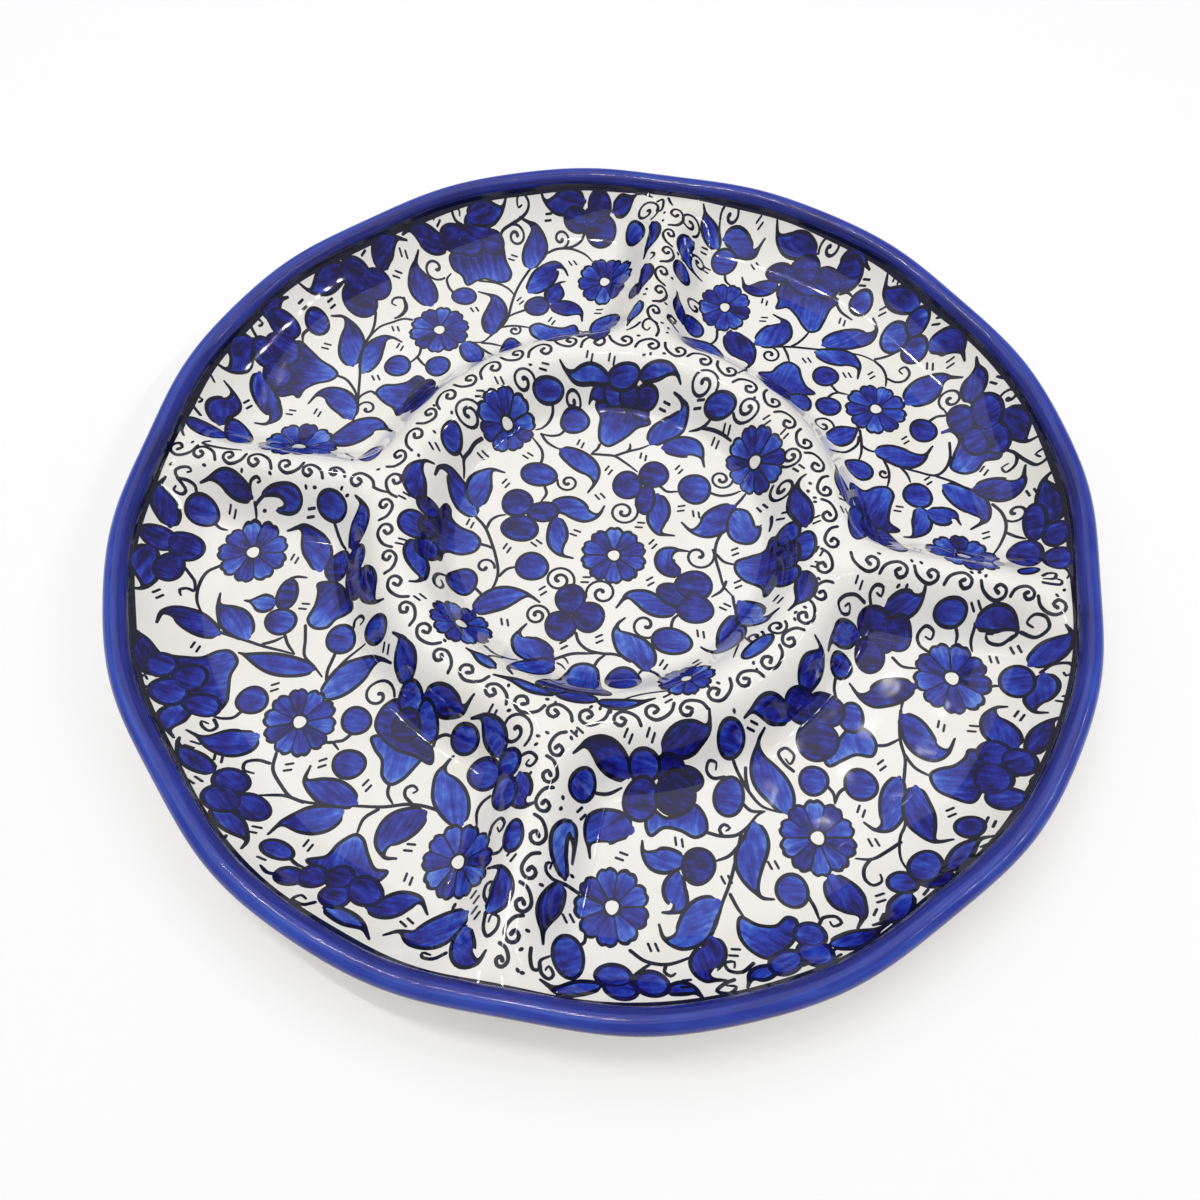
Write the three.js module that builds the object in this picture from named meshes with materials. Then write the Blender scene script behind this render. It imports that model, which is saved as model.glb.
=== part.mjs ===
// Divided platter in glazed earthenware: four outer wells round one round centre well.
// Millimetres, +Z up. The origin is on the table plane, under the middle of the plate.
// The slip-cast clay body carries four coats of glaze: the painted face, the blue rim band,
// the outside of the back, and the inside of the foot ring. The foot ring itself is bare clay.

import * as THREE from "three";

// Outline, seen from above: a circle with four lobes, each a little flattened in its middle
const OUTER_RADIUS = 160;
const LOBE_RISE = 0.8;
const LOBE_FLATTENING = 0.94;
const NOTCH_SHARPENING = 0.41;

// Rolled rim
const BEAD_RADIUS = 3.7;
const BAND_DROP = 5.4;
const BAND_END_ANGLE = -38;

// Wells, measured down from the top of the rim, and the wall that rises to the rim
const OUTER_WELL_DEPTH = 20.5;
const CENTRE_WELL_DEPTH = 20.5;
const WALL_WIDTH = 26;

// Ring ridge round the centre well
const RING_RADIUS = 72.5;
const RING_INNER_SPREAD = 21;
const RING_OUTER_SPREAD = 21;
const RING_INNER_STEEPNESS = 1.35;
const RING_OUTER_STEEPNESS = 1.05;

// Radial ridges. They aren't quite square to each other, as on the hand-finished original.
const RIDGE_DIRECTIONS = [-1.6, 89.6, 180, 267.6];
const RIDGE_SPREAD = 21;
const RIDGE_STEEPNESS = 1;
const PARTITION_DROP = 4.6;

// Body and coats
const WALL_THICKNESS = 5.6;
const GLAZE_THICKNESS = 0.5;
const GLAZE_CLEARANCE = 0.3;

// Foot ring
const FOOT_GAP = 6;
const FOOT_WIDTH = 5;
const FOOT_TAPER = 1.6;
const FOOT_HEIGHT = 4.4;
const FOOT_BARE_MARGIN = 1;

// How finely the surfaces are cut
const RIDGE_LINES = [-20.5, -12.5, -6, 0, 6, 12.5, 20.5];
const LINES_BETWEEN_RIDGES = 7;
const CENTRE_FLOOR_STATIONS = [0.45, 0.85];
const RING_SLOPE_STATIONS = [0.78, 0.56, 0.34, 0.15];
const OUTER_STATIONS = [0.19, 0.38, 0.57, 0.68, 0.79, 0.9];
const BACK_STATIONS = [0.25, 0.5, 0.68, 0.85];
const BEAD_STEPS = 7;
const SLOPE_STEP = 0.5;
const SAME_RADIUS = 1e-6;

// Heights and radii that follow from the driving dimensions
const DEEPEST_WELL = Math.max(OUTER_WELL_DEPTH, CENTRE_WELL_DEPTH);
const RIM_TOP = FOOT_HEIGHT + WALL_THICKNESS + DEEPEST_WELL;
const CREST = RIM_TOP - PARTITION_DROP;
const BAND_EDGE = RIM_TOP - BAND_DROP;
const BEAD_CENTRE = RIM_TOP - BEAD_RADIUS;
const BEAD_DIAMETER = 2 * BEAD_RADIUS;
const COAT_DEPTH = GLAZE_THICKNESS + GLAZE_CLEARANCE;
const RING_FOOT = RING_RADIUS + RING_OUTER_SPREAD;
const FOOT_RADIUS = RING_FOOT + FOOT_GAP + FOOT_WIDTH / 2;
const FOOT_HALF = FOOT_WIDTH / 2;
const FOOT_REACH = FOOT_HALF + FOOT_TAPER;
const BASE_COAT_EDGE = FOOT_RADIUS - FOOT_REACH - FOOT_BARE_MARGIN;
const BACK_COAT_START = FOOT_RADIUS + FOOT_REACH + FOOT_BARE_MARGIN;

const radians = THREE.MathUtils.degToRad;
const LOBE_MIDDLE = radians(45);

function outlineRadius(angle) {
  const turn = angle - LOBE_MIDDLE;
  const lobe = LOBE_RISE * Math.cos(4 * turn);
  const flattening = LOBE_FLATTENING * Math.cos(8 * turn);
  const sharpening = NOTCH_SHARPENING * Math.cos(16 * turn);
  return OUTER_RADIUS + lobe - flattening - sharpening;
}

// Radius at which the painted face meets the inside of the rolled rim
function bandRadius(angle) {
  return outlineRadius(angle) - BEAD_DIAMETER;
}

// A rounded ridge: 1 on its crest, 0 at its foot. A higher steepness fills out its shoulders.
function ridgeShape(distance, spread, steepness) {
  const share = Math.min(Math.abs(distance) / spread, 1);
  return 0.5 * (1 + Math.cos(Math.PI * share ** steepness));
}

// The bowl-shaped rise from the floor of an outer well to the rim: 1 at the rim, 0 on the floor
function wallShape(r, angle) {
  const share = Math.min(Math.max((bandRadius(angle) - r) / WALL_WIDTH, 0), 1);
  return (1 - share) ** 2;
}

function radialRidges(x, y) {
  let gap = 1;
  for (const direction of RIDGE_DIRECTIONS) {
    const across = y * Math.cos(radians(direction)) - x * Math.sin(radians(direction));
    const along = x * Math.cos(radians(direction)) + y * Math.sin(radians(direction));
    if (along > 0) gap *= 1 - ridgeShape(across, RIDGE_SPREAD, RIDGE_STEEPNESS);
  }
  return 1 - gap;
}

// Height of the painted face above the table
function faceHeight(x, y) {
  const r = Math.hypot(x, y);
  const angle = Math.atan2(y, x);
  if (r < RING_RADIUS) {
    const floor = RIM_TOP - CENTRE_WELL_DEPTH;
    const ring = ridgeShape(r - RING_RADIUS, RING_INNER_SPREAD, RING_INNER_STEEPNESS);
    return floor + ring * (CREST - floor);
  }
  const floor = RIM_TOP - OUTER_WELL_DEPTH;
  const ring = ridgeShape(r - RING_RADIUS, RING_OUTER_SPREAD, RING_OUTER_STEEPNESS);
  const wall = wallShape(r, angle);
  const joined = 1 - (1 - ring) * (1 - radialRidges(x, y)) * (1 - wall);
  return floor + joined * (CREST - floor) + wall * (BAND_EDGE - CREST);
}

// How much longer a vertical step is than the same step square to the face
function slopeFactor(x, y) {
  const dx = faceHeight(x + SLOPE_STEP, y) - faceHeight(x - SLOPE_STEP, y);
  const dy = faceHeight(x, y + SLOPE_STEP) - faceHeight(x, y - SLOPE_STEP);
  return Math.hypot(1, dx / (2 * SLOPE_STEP), dy / (2 * SLOPE_STEP));
}

// Height of the layer that lies a given depth under the painted face
function layerHeight(x, y, depth) {
  return faceHeight(x, y) - depth * slopeFactor(x, y);
}

// Lines that run outwards from the centre: close together along each ridge, even between ridges.
// Outside the ring they keep their distance from the ridge, so that the crest stays sharp.
function lineAngles(r) {
  const reach = Math.max(r, RING_RADIUS);
  const angles = [];
  RIDGE_DIRECTIONS.forEach((direction, k) => {
    const turn = k + 1 < RIDGE_DIRECTIONS.length ? 0 : 360;
    const next = RIDGE_DIRECTIONS[(k + 1) % RIDGE_DIRECTIONS.length] + turn;
    for (const offset of RIDGE_LINES) angles.push(radians(direction) + Math.asin(offset / reach));
    const first = angles.at(-1);
    const last = radians(next) + Math.asin(RIDGE_LINES[0] / reach);
    for (let i = 1; i <= LINES_BETWEEN_RIDGES; i += 1) {
      angles.push(first + ((last - first) * i) / (LINES_BETWEEN_RIDGES + 1));
    }
  });
  return angles;
}

const LINE_COUNT = RIDGE_DIRECTIONS.length * (RIDGE_LINES.length + LINES_BETWEEN_RIDGES);

// A ring of points, one on each line. radiusAt and heightAt take the line's angle.
function ring(radiusAt, heightAt) {
  const points = [];
  for (let i = 0; i < LINE_COUNT; i += 1) {
    let angle = lineAngles(OUTER_RADIUS)[i];
    angle = lineAngles(radiusAt(angle))[i];
    const r = radiusAt(angle);
    const x = r * Math.cos(angle);
    const y = r * Math.sin(angle);
    points.push(new THREE.Vector3(x, y, heightAt(x, y, angle)));
  }
  return points;
}

function layerRing(radiusAt, depth) {
  return ring(radiusAt, (x, y) => layerHeight(x, y, depth));
}

// Radii at which the face is cut, from the centre to the rim, each as a function of the angle
function faceRadii(edge) {
  const floorEdge = RING_RADIUS - RING_INNER_SPREAD;
  const fixed = [
    ...CENTRE_FLOOR_STATIONS.map((share) => share * floorEdge),
    floorEdge,
    ...RING_SLOPE_STATIONS.map((share) => RING_RADIUS - share * RING_INNER_SPREAD),
    RING_RADIUS,
    ...RING_SLOPE_STATIONS.toReversed().map((share) => RING_RADIUS + share * RING_OUTER_SPREAD),
    RING_FOOT,
  ];
  const outer = [...OUTER_STATIONS, 1];
  return [
    ...fixed.map((r) => () => r),
    ...outer.map((share) => (angle) => RING_FOOT + share * (bandRadius(angle) - edge - RING_FOOT)),
  ];
}

// Radii of the base coat, from the edge of the foot ring back to the centre
function baseRadii() {
  const radii = faceRadii(0).map((radiusAt) => radiusAt(0));
  return [BASE_COAT_EDGE, ...radii.filter((r) => r < BASE_COAT_EDGE - 2).toReversed()];
}

// Points of the rolled rim's section, inset by depth: up its inside, over it and down its outside
function beadRings(depth) {
  const rings = [];
  const inside = (angle) => bandRadius(angle) + depth;
  rings.push(ring(inside, (x, y, angle) => beadFootHeight(angle, depth)));
  for (let i = 0; i <= BEAD_STEPS; i += 1) {
    const turn = radians(180 + ((BAND_END_ANGLE - 180) * i) / BEAD_STEPS);
    const rise = (BEAD_RADIUS - depth) * Math.sin(turn);
    const out = (BEAD_RADIUS - depth) * Math.cos(turn);
    const radiusAt = (angle) => outlineRadius(angle) - BEAD_RADIUS + out;
    rings.push(ring(radiusAt, () => BEAD_CENTRE + rise));
  }
  return rings;
}

// The foot of the bead's inner side stands on the clay of the wall, or ends at the band's edge
function beadFootHeight(angle, depth) {
  if (depth < COAT_DEPTH) return BAND_EDGE;
  const r = bandRadius(angle);
  return layerHeight(r * Math.cos(angle), r * Math.sin(angle), depth);
}

// Rings of the back between the foot ring and the rolled rim, inset by depth
function backRings(depth, edge) {
  const rings = [];
  for (const share of [0, ...BACK_STATIONS, 1]) {
    const radiusAt = (angle) => BACK_COAT_START + share * (bandRadius(angle) - BACK_COAT_START);
    rings.push(layerRing(radiusAt, WALL_THICKNESS - depth));
  }
  const turn = radians(BAND_END_ANGLE);
  const out = (BEAD_RADIUS - depth) * Math.cos(turn) - edge;
  const rise = (BEAD_RADIUS - depth) * Math.sin(turn) - edge;
  const radiusAt = (angle) => outlineRadius(angle) - BEAD_RADIUS + out;
  rings.push(ring(radiusAt, () => BEAD_CENTRE + rise));
  return rings;
}

function baseRings(depth) {
  return baseRadii().map((r) => layerRing(() => r, WALL_THICKNESS - depth));
}

// Bare foot ring: down its outer side, across the flat that meets the table, and up its inner side
function footRings() {
  const top = (r) => layerRing(() => r, WALL_THICKNESS);
  const flat = (r) => ring(() => r, () => 0);
  return [
    top(FOOT_RADIUS + FOOT_REACH),
    flat(FOOT_RADIUS + FOOT_HALF),
    flat(FOOT_RADIUS - FOOT_HALF),
    top(FOOT_RADIUS - FOOT_REACH),
  ];
}

// True where the second point lies further out than the first, or straight above it
function goesOutward(first, second) {
  const outward = Math.hypot(second.x, second.y) - Math.hypot(first.x, first.y);
  return Math.abs(outward) > SAME_RADIUS ? outward > 0 : second.z > first.z;
}

// Joins rings of points into one closed body. With poles, the first and last ring are closed by
// a fan to the axis; without, the last ring joins the first. Each four-sided facet is split the
// same way on every layer, so that layers stay parallel.
function closedBody(rings, topPole, bottomPole) {
  const points = rings.flat();
  const index = [];
  const at = (j, i) => j * LINE_COUNT + (i % LINE_COUNT);
  const hasPoles = topPole !== undefined;
  const bands = hasPoles ? rings.length - 1 : rings.length;
  for (let j = 0; j < bands; j += 1) {
    const k = (j + 1) % rings.length;
    const outward = goesOutward(rings[j][0], rings[k][0]);
    for (let i = 0; i < LINE_COUNT; i += 1) {
      const [near, far] = [at(j, i), at(k, i)];
      const [nearNext, farNext] = [at(j, i + 1), at(k, i + 1)];
      if (outward) index.push(near, far, farNext, near, farNext, nearNext);
      else index.push(near, far, nearNext, far, farNext, nearNext);
    }
  }
  if (hasPoles) {
    const top = points.push(new THREE.Vector3(0, 0, topPole)) - 1;
    const bottom = points.push(new THREE.Vector3(0, 0, bottomPole)) - 1;
    for (let i = 0; i < LINE_COUNT; i += 1) {
      index.push(top, at(0, i), at(0, i + 1));
      index.push(bottom, at(rings.length - 1, i + 1), at(rings.length - 1, i));
    }
  }
  const geometry = new THREE.BufferGeometry().setFromPoints(points);
  geometry.setIndex(index);
  geometry.computeVertexNormals();
  return geometry;
}

const centreHeight = (depth) => layerHeight(0, 0, depth);

function clayBody() {
  const top = faceRadii(0).map((radiusAt) => layerRing(radiusAt, COAT_DEPTH));
  const bead = beadRings(COAT_DEPTH);
  const back = backRings(COAT_DEPTH, 0).slice(0, -1).toReversed();
  const rings = [...top.slice(0, -1), ...bead, ...back, ...footRings(), ...baseRings(COAT_DEPTH)];
  return closedBody(rings, centreHeight(COAT_DEPTH), centreHeight(WALL_THICKNESS - COAT_DEPTH));
}

function faceGlaze() {
  const outer = faceRadii(GLAZE_CLEARANCE).map((radiusAt) => layerRing(radiusAt, 0));
  const inner = faceRadii(GLAZE_CLEARANCE).map((radiusAt) => layerRing(radiusAt, GLAZE_THICKNESS));
  return closedBody([...outer, ...inner.toReversed()], centreHeight(0), centreHeight(GLAZE_THICKNESS));
}

function rimBandGlaze() {
  return closedBody([...beadRings(0), ...beadRings(GLAZE_THICKNESS).toReversed()]);
}

function undersideGlaze() {
  const outer = backRings(0, GLAZE_CLEARANCE);
  const inner = backRings(GLAZE_THICKNESS, GLAZE_CLEARANCE);
  return closedBody([...outer.toReversed(), ...inner]);
}

function baseGlaze() {
  const upper = baseRings(GLAZE_THICKNESS).toReversed();
  const topPole = centreHeight(WALL_THICKNESS - GLAZE_THICKNESS);
  return closedBody([...upper, ...baseRings(0)], topPole, centreHeight(WALL_THICKNESS));
}

const bareClay = new THREE.MeshStandardMaterial({ color: 0xdccbb0, roughness: 0.85, metalness: 0 });
const whiteGlaze = new THREE.MeshStandardMaterial({ color: 0xf1eee4, roughness: 0.1, metalness: 0 });
const blueGlaze = new THREE.MeshStandardMaterial({ color: 0x2b309c, roughness: 0.1, metalness: 0 });
const backGlaze = new THREE.MeshStandardMaterial({ color: 0xece8dc, roughness: 0.16, metalness: 0 });

function piece(name, geometry, material) {
  const mesh = new THREE.Mesh(geometry, material);
  mesh.name = name;
  return mesh;
}

const platter = new THREE.Group();
platter.add(piece("clay_body", clayBody(), bareClay));
platter.add(piece("face_glaze", faceGlaze(), whiteGlaze));
platter.add(piece("rim_band_glaze", rimBandGlaze(), blueGlaze));
platter.add(piece("underside_glaze", undersideGlaze(), backGlaze));
platter.add(piece("base_glaze", baseGlaze(), backGlaze));

export default platter;
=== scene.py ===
"""Divided platter in glazed earthenware: its fine surfaces, its glazes and its brush painting.

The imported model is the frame. Lengths are millimetres up to the point where a mesh is made, which
is in metres in the same frame: +Z up, the origin on the table under the middle of the platter.
"""

import math

import bpy
import numpy as np
from mathutils import Matrix, Vector
from mathutils.geometry import delaunay_2d_cdt


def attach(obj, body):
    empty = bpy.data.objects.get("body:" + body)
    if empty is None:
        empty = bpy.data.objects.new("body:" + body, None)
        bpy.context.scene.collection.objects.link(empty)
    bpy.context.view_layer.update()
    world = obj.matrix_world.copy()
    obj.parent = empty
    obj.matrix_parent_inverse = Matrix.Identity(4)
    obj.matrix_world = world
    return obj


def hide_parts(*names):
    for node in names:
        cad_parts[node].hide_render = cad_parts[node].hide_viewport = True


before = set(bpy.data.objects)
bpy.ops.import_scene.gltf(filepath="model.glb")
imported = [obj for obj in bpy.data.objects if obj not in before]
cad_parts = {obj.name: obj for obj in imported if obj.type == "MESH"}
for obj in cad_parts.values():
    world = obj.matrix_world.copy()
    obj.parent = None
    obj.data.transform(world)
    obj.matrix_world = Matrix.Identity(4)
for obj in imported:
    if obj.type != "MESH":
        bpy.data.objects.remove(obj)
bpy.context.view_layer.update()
METRES = 0.001

# The platter's driving sizes, in millimetres, as in the solid model
OUTER_RADIUS = 160
LOBE_RISE, LOBE_FLATTENING, NOTCH_SHARPENING = 0.8, 0.94, 0.41
BEAD_RADIUS, BAND_DROP, BAND_END_ANGLE = 3.7, 5.4, -38
WELL_DEPTH, WALL_WIDTH = 20.5, 26
RING_RADIUS, RING_SPREAD = 72.5, 21
RING_INNER_STEEPNESS, RING_OUTER_STEEPNESS = 1.35, 1.05
RIDGE_DIRECTIONS = (-1.6, 89.6, 180, 267.6)
RIDGE_SPREAD, PARTITION_DROP = 21, 4.6
WALL_THICKNESS, GLAZE_THICKNESS, GLAZE_CLEARANCE = 5.6, 0.5, 0.3
FOOT_GAP, FOOT_WIDTH, FOOT_TAPER, FOOT_HEIGHT, FOOT_BARE_MARGIN = 6, 5, 1.6, 4.4, 1

RIM_TOP = FOOT_HEIGHT + WALL_THICKNESS + WELL_DEPTH
FLOOR = RIM_TOP - WELL_DEPTH
CREST = RIM_TOP - PARTITION_DROP
BAND_EDGE = RIM_TOP - BAND_DROP
BEAD_CENTRE = RIM_TOP - BEAD_RADIUS
COAT_DEPTH = GLAZE_THICKNESS + GLAZE_CLEARANCE
FOOT_HALF = FOOT_WIDTH / 2
FOOT_REACH = FOOT_HALF + FOOT_TAPER
FOOT_RADIUS = RING_RADIUS + RING_SPREAD + FOOT_GAP + FOOT_HALF
SLOPE_STEP = 0.1


def outline_radius(angle):
    turn = angle - math.pi / 4
    lobes = LOBE_RISE * np.cos(4 * turn) - LOBE_FLATTENING * np.cos(8 * turn)
    return OUTER_RADIUS + lobes - NOTCH_SHARPENING * np.cos(16 * turn)


def band_radius(angle):
    return outline_radius(angle) - 2 * BEAD_RADIUS


def ridge_shape(distance, spread, steepness):
    share = np.minimum(np.abs(distance) / spread, 1)
    return 0.5 * (1 + np.cos(np.pi * share**steepness))


def face_height(x, y):
    """Height of the painted face above the table."""
    r = np.hypot(x, y)
    wall_share = np.minimum((band_radius(np.arctan2(y, x)) - r) / WALL_WIDTH, 1)
    wall = (1 - wall_share) ** 2
    gap = np.ones_like(r)
    for direction in np.radians(RIDGE_DIRECTIONS):
        across = y * np.cos(direction) - x * np.sin(direction)
        along = x * np.cos(direction) + y * np.sin(direction)
        gap = gap * np.where(along > 0, 1 - ridge_shape(across, RIDGE_SPREAD, 1), 1)
    ring_outside = ridge_shape(r - RING_RADIUS, RING_SPREAD, RING_OUTER_STEEPNESS)
    ring_inside = ridge_shape(r - RING_RADIUS, RING_SPREAD, RING_INNER_STEEPNESS)
    joined = 1 - (1 - ring_outside) * gap * (1 - wall)
    outside = FLOOR + joined * (CREST - FLOOR) + wall * (BAND_EDGE - CREST)
    inside = FLOOR + ring_inside * (CREST - FLOOR)
    return np.where(r < RING_RADIUS, inside, outside)


def face_slopes(x, y):
    """How steeply the face rises along X and along Y."""
    dx = face_height(x + SLOPE_STEP, y) - face_height(x - SLOPE_STEP, y)
    dy = face_height(x, y + SLOPE_STEP) - face_height(x, y - SLOPE_STEP)
    return dx / (2 * SLOPE_STEP), dy / (2 * SLOPE_STEP)


def layer_height(x, y, depth):
    """Height of the layer that lies a given depth under the face."""
    dx, dy = face_slopes(x, y)
    return face_height(x, y) - depth * np.sqrt(1 + dx**2 + dy**2)


# The three paints that a loop can hold
GROUND, INK, BLUE = 0, 1, 2
# The brush, in millimetres: the width of its line, and how often a stroke's course is sampled
LINE = 1.1
SAMPLE = 0.7
TICK_HALF_LENGTH, TICK_HALF_WIDTH, TICK_SIDESTEP, TICK_STAGGER = 1.1, 0.4, 0.95, 0.35
DOT_SIZE, DOT_STRETCH = 0.55, 1.45
CURL_EYE, CURL_STEPS = 0.62, 18
MIN_FILL_HALF_WIDTH = 0.12
# Shares of a leaf's width, of its length and of the line. Its base is round and its tip is sharp.
LEAF_FULLNESS, LEAF_BLUNTNESS, LEAF_SHARPENING = 0.47, 0.5, 0.75
LEAF_TAIL, LEAF_BELLY = 0.16, 0.85
# Shares of a rosette's radius
PETAL_FOOT, PETAL_RISE, PETAL_NOTCH, PETAL_PULL = 0.83, 0.17, 0.055, 0.03
PETAL_ROUNDNESS, NOTCH_WIDTH = 0.65, 0.1
EYE = 0.175


def smooth_path(points, step=SAMPLE, closed=False):
    """A smooth curve through the points, with a sample about every step."""
    p = np.array(points, float)
    if closed:
        p = np.vstack([p[-1], p, p[:2]])
    else:
        p = np.vstack([2 * p[0] - p[1], p, 2 * p[-1] - p[-2]])
    parts = []
    for a, b, c, d in zip(p, p[1:], p[2:], p[3:]):
        knots = np.cumsum([0] + [max(np.hypot(*(v - u)), 1e-6) ** 0.5 for u, v in ((a, b), (b, c), (c, d))])
        count = max(int(np.hypot(*(c - b)) / step), 2)
        t = np.linspace(knots[1], knots[2], count, endpoint=False)[:, None]
        ab = a + (b - a) * (t - knots[0]) / (knots[1] - knots[0])
        bc = b + (c - b) * (t - knots[1]) / (knots[2] - knots[1])
        cd = c + (d - c) * (t - knots[2]) / (knots[3] - knots[2])
        abc = ab + (bc - ab) * (t - knots[0]) / (knots[2] - knots[0])
        bcd = bc + (cd - bc) * (t - knots[1]) / (knots[3] - knots[1])
        parts.append(abc + (bcd - abc) * (t - knots[1]) / (knots[2] - knots[1]))
    if not closed:
        parts.append(p[-2:-1])
    return np.vstack(parts)


def sideways(path, closed=False):
    """Unit vectors square to the path, to its left."""
    if closed:
        along = np.roll(path, -1, 0) - np.roll(path, 1, 0)
    else:
        along = np.gradient(path, axis=0)
    along /= np.maximum(np.hypot(*along.T), 1e-9)[:, None]
    return np.stack([-along[:, 1], along[:, 0]], 1)


def ribbon(path, half):
    """The outline of a stroke along the path, which reaches half to each side and has round ends."""
    side = sideways(path) * np.broadcast_to(half, len(path))[:, None]
    forward = np.stack([side[-1, 1], -side[-1, 0]])
    back = np.stack([-side[0, 1], side[0, 0]])
    diagonal = 0.7
    head = [
        path[-1] + diagonal * (side[-1] + forward),
        path[-1] + forward,
        path[-1] + diagonal * (forward - side[-1]),
    ]
    foot = [path[0] + diagonal * (back - side[0]), path[0] + back, path[0] + diagonal * (back + side[0])]
    return np.vstack([path + side, head, (path - side)[::-1], foot])


def petal_reach(part):
    """How far out a petal goes, as part runs from 0 to 1 across it: two bumps with a notch between."""
    notch = np.exp(-(((part - 0.5) / NOTCH_WIDTH) ** 2))
    return PETAL_FOOT + PETAL_RISE * np.sin(math.pi * part) ** PETAL_ROUNDNESS - PETAL_NOTCH * notch


class Painting:
    """Loops of paint in the order that the brush lays them: a later loop covers an earlier one."""

    def __init__(self):
        self.loops = []

    def loop(self, points, paint, axis=((0, 0), (1, 0)), tone=(0.4, 0.4)):
        """A closed loop. Its tone runs along the axis between two values, from 0, dark, to 1, light."""
        self.loops.append((np.asarray(points, float), paint, np.array(axis, float), tone))

    def line(self, *points, width=LINE, taper=0.55):
        """A stroke of ink that thins out towards its end."""
        path = smooth_path(points)
        share = np.linspace(0, 1, len(path))
        self.loop(ribbon(path, 0.5 * width * (1 - (1 - taper) * share**4)), INK)

    def tick(self, x, y, angle):
        """A pair of short strokes, side by side."""
        a = math.radians(angle)
        along, side = np.array([math.cos(a), math.sin(a)]), np.array([-math.sin(a), math.cos(a)])
        for place in (side * TICK_SIDESTEP + along * TICK_STAGGER, -side * TICK_SIDESTEP - along * TICK_STAGGER):
            middle = np.array([x, y]) + place
            path = smooth_path([middle - along * TICK_HALF_LENGTH, middle, middle + along * TICK_HALF_LENGTH], 0.5)
            self.loop(ribbon(path, TICK_HALF_WIDTH), INK)

    def dot(self, x, y, size=DOT_SIZE):
        """A dab of the brush's tip."""
        a = 1.3 * x + 2.1 * y
        t = np.linspace(0, 2 * math.pi, 8, endpoint=False)
        along, across = DOT_STRETCH * size * np.cos(t), size * np.sin(t)
        ring = [x + along * math.cos(a) - across * math.sin(a), y + along * math.sin(a) + across * math.cos(a)]
        self.loop(np.stack(ring, 1), INK)

    def curl(self, sx, sy, cx, cy, turns, width=LINE):
        """A spiral that starts at (sx, sy) and winds in round (cx, cy). Positive turns go left."""
        radius = math.hypot(sx - cx, sy - cy)
        start = math.atan2(sy - cy, sx - cx)
        count = int(abs(turns) * CURL_STEPS) + 4
        share = np.linspace(0, 1, count)
        r = CURL_EYE + (radius - CURL_EYE) * (1 - share) ** 0.85
        a = start + share * turns * 2 * math.pi
        path = np.stack([cx + r * np.cos(a), cy + r * np.sin(a)], 1)
        half = 0.5 * width * (0.85 + 0.45 * share**3)
        self.loop(ribbon(path, half), INK)

    def berry(self, x, y, rx, ry=None, angle=0, tone=(0.2, 0.55), layers=()):
        """A round or oval dab of blue in a dark outline, or the layers given: paint, growth and tone."""
        ry = rx if ry is None else ry
        a = math.radians(angle)
        turn = np.array([[math.cos(a), math.sin(a)], [-math.sin(a), math.cos(a)]])
        count = max(int(math.pi * (rx + ry) / SAMPLE), 10)
        t = np.linspace(0, 2 * math.pi, count, endpoint=False)
        wobble = 1 + 0.025 * np.sin(2 * t + x) + 0.02 * np.sin(3 * t + y)
        for paint, grow, shade in layers or ((INK, LINE / 2, tone), (BLUE, -LINE / 2, tone)):
            ring = np.stack([(rx + grow) * np.cos(t) * wobble, (ry + grow) * np.sin(t) * wobble], 1)
            half = np.array([rx, 0]) @ turn
            self.loop(ring @ turn + (x, y), paint, ((x, y) - half, (x, y) + half), shade)

    def cluster(self, berries, tone):
        """Dark petals that run into one another, with ink round them all and dark blue between them."""
        for berry in berries:
            self.berry(*berry, layers=((INK, 0.7 * LINE, tone),))
        for berry in berries:
            self.berry(*berry, layers=((BLUE, 0.1 * LINE, (0, 0)), (BLUE, -LINE / 2, tone)))

    def leaf(self, width, *points, tail=LEAF_TAIL, tone=(0.25, 0.75)):
        """A leaf along the points, from its round base to a thin flick of ink past its tip."""
        path = smooth_path(points)
        step = np.hypot(*np.diff(path, axis=0).T)
        share = np.concatenate([[0], np.cumsum(step)]) / step.sum()
        body = np.clip(share / (1 - tail), 0, 1)
        sharpness = LEAF_BLUNTNESS + LEAF_SHARPENING * body
        half = LEAF_FULLNESS * width * np.sin(math.pi * body**LEAF_BELLY) ** sharpness
        flick = 0.5 * LINE * np.clip(3.9 - 3.2 * share, 0.6, 1.2)
        self.loop(ribbon(path, half + flick), INK)
        inner = half - LINE / 2
        inside = np.flatnonzero(inner > MIN_FILL_HALF_WIDTH)
        if len(inside) > 3:
            part = slice(inside[0], inside[-1] + 1)
            self.loop(ribbon(path[part], inner[part]), BLUE, (path[0], path[-1]), tone)

    def blob(self, *points, axis=None, tone=(0.2, 0.6)):
        """A free shape with a smooth outline through the points."""
        path = smooth_path(points, closed=True)
        area = np.sum(path[:, 0] * np.roll(path[:, 1], -1) - np.roll(path[:, 0], -1) * path[:, 1])
        outward = -sideways(path, closed=True) * np.sign(area)
        axis = axis or (points[0], points[len(points) // 2])
        self.loop(path + outward * LINE / 2, INK)
        self.loop(path - outward * LINE / 2, BLUE, axis, tone)

    def rosette(self, x, y, radius, petals=10, turn=0, squash=1, lean=0):
        """A round flower with notched petals round a white eye."""
        a = math.radians(lean)
        leaning = np.array([[math.cos(a), math.sin(a)], [-math.sin(a), math.cos(a)]])

        def place(r, t):
            return np.stack([r * np.cos(t), squash * r * np.sin(t)], 1) @ leaning + (x, y)

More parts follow.
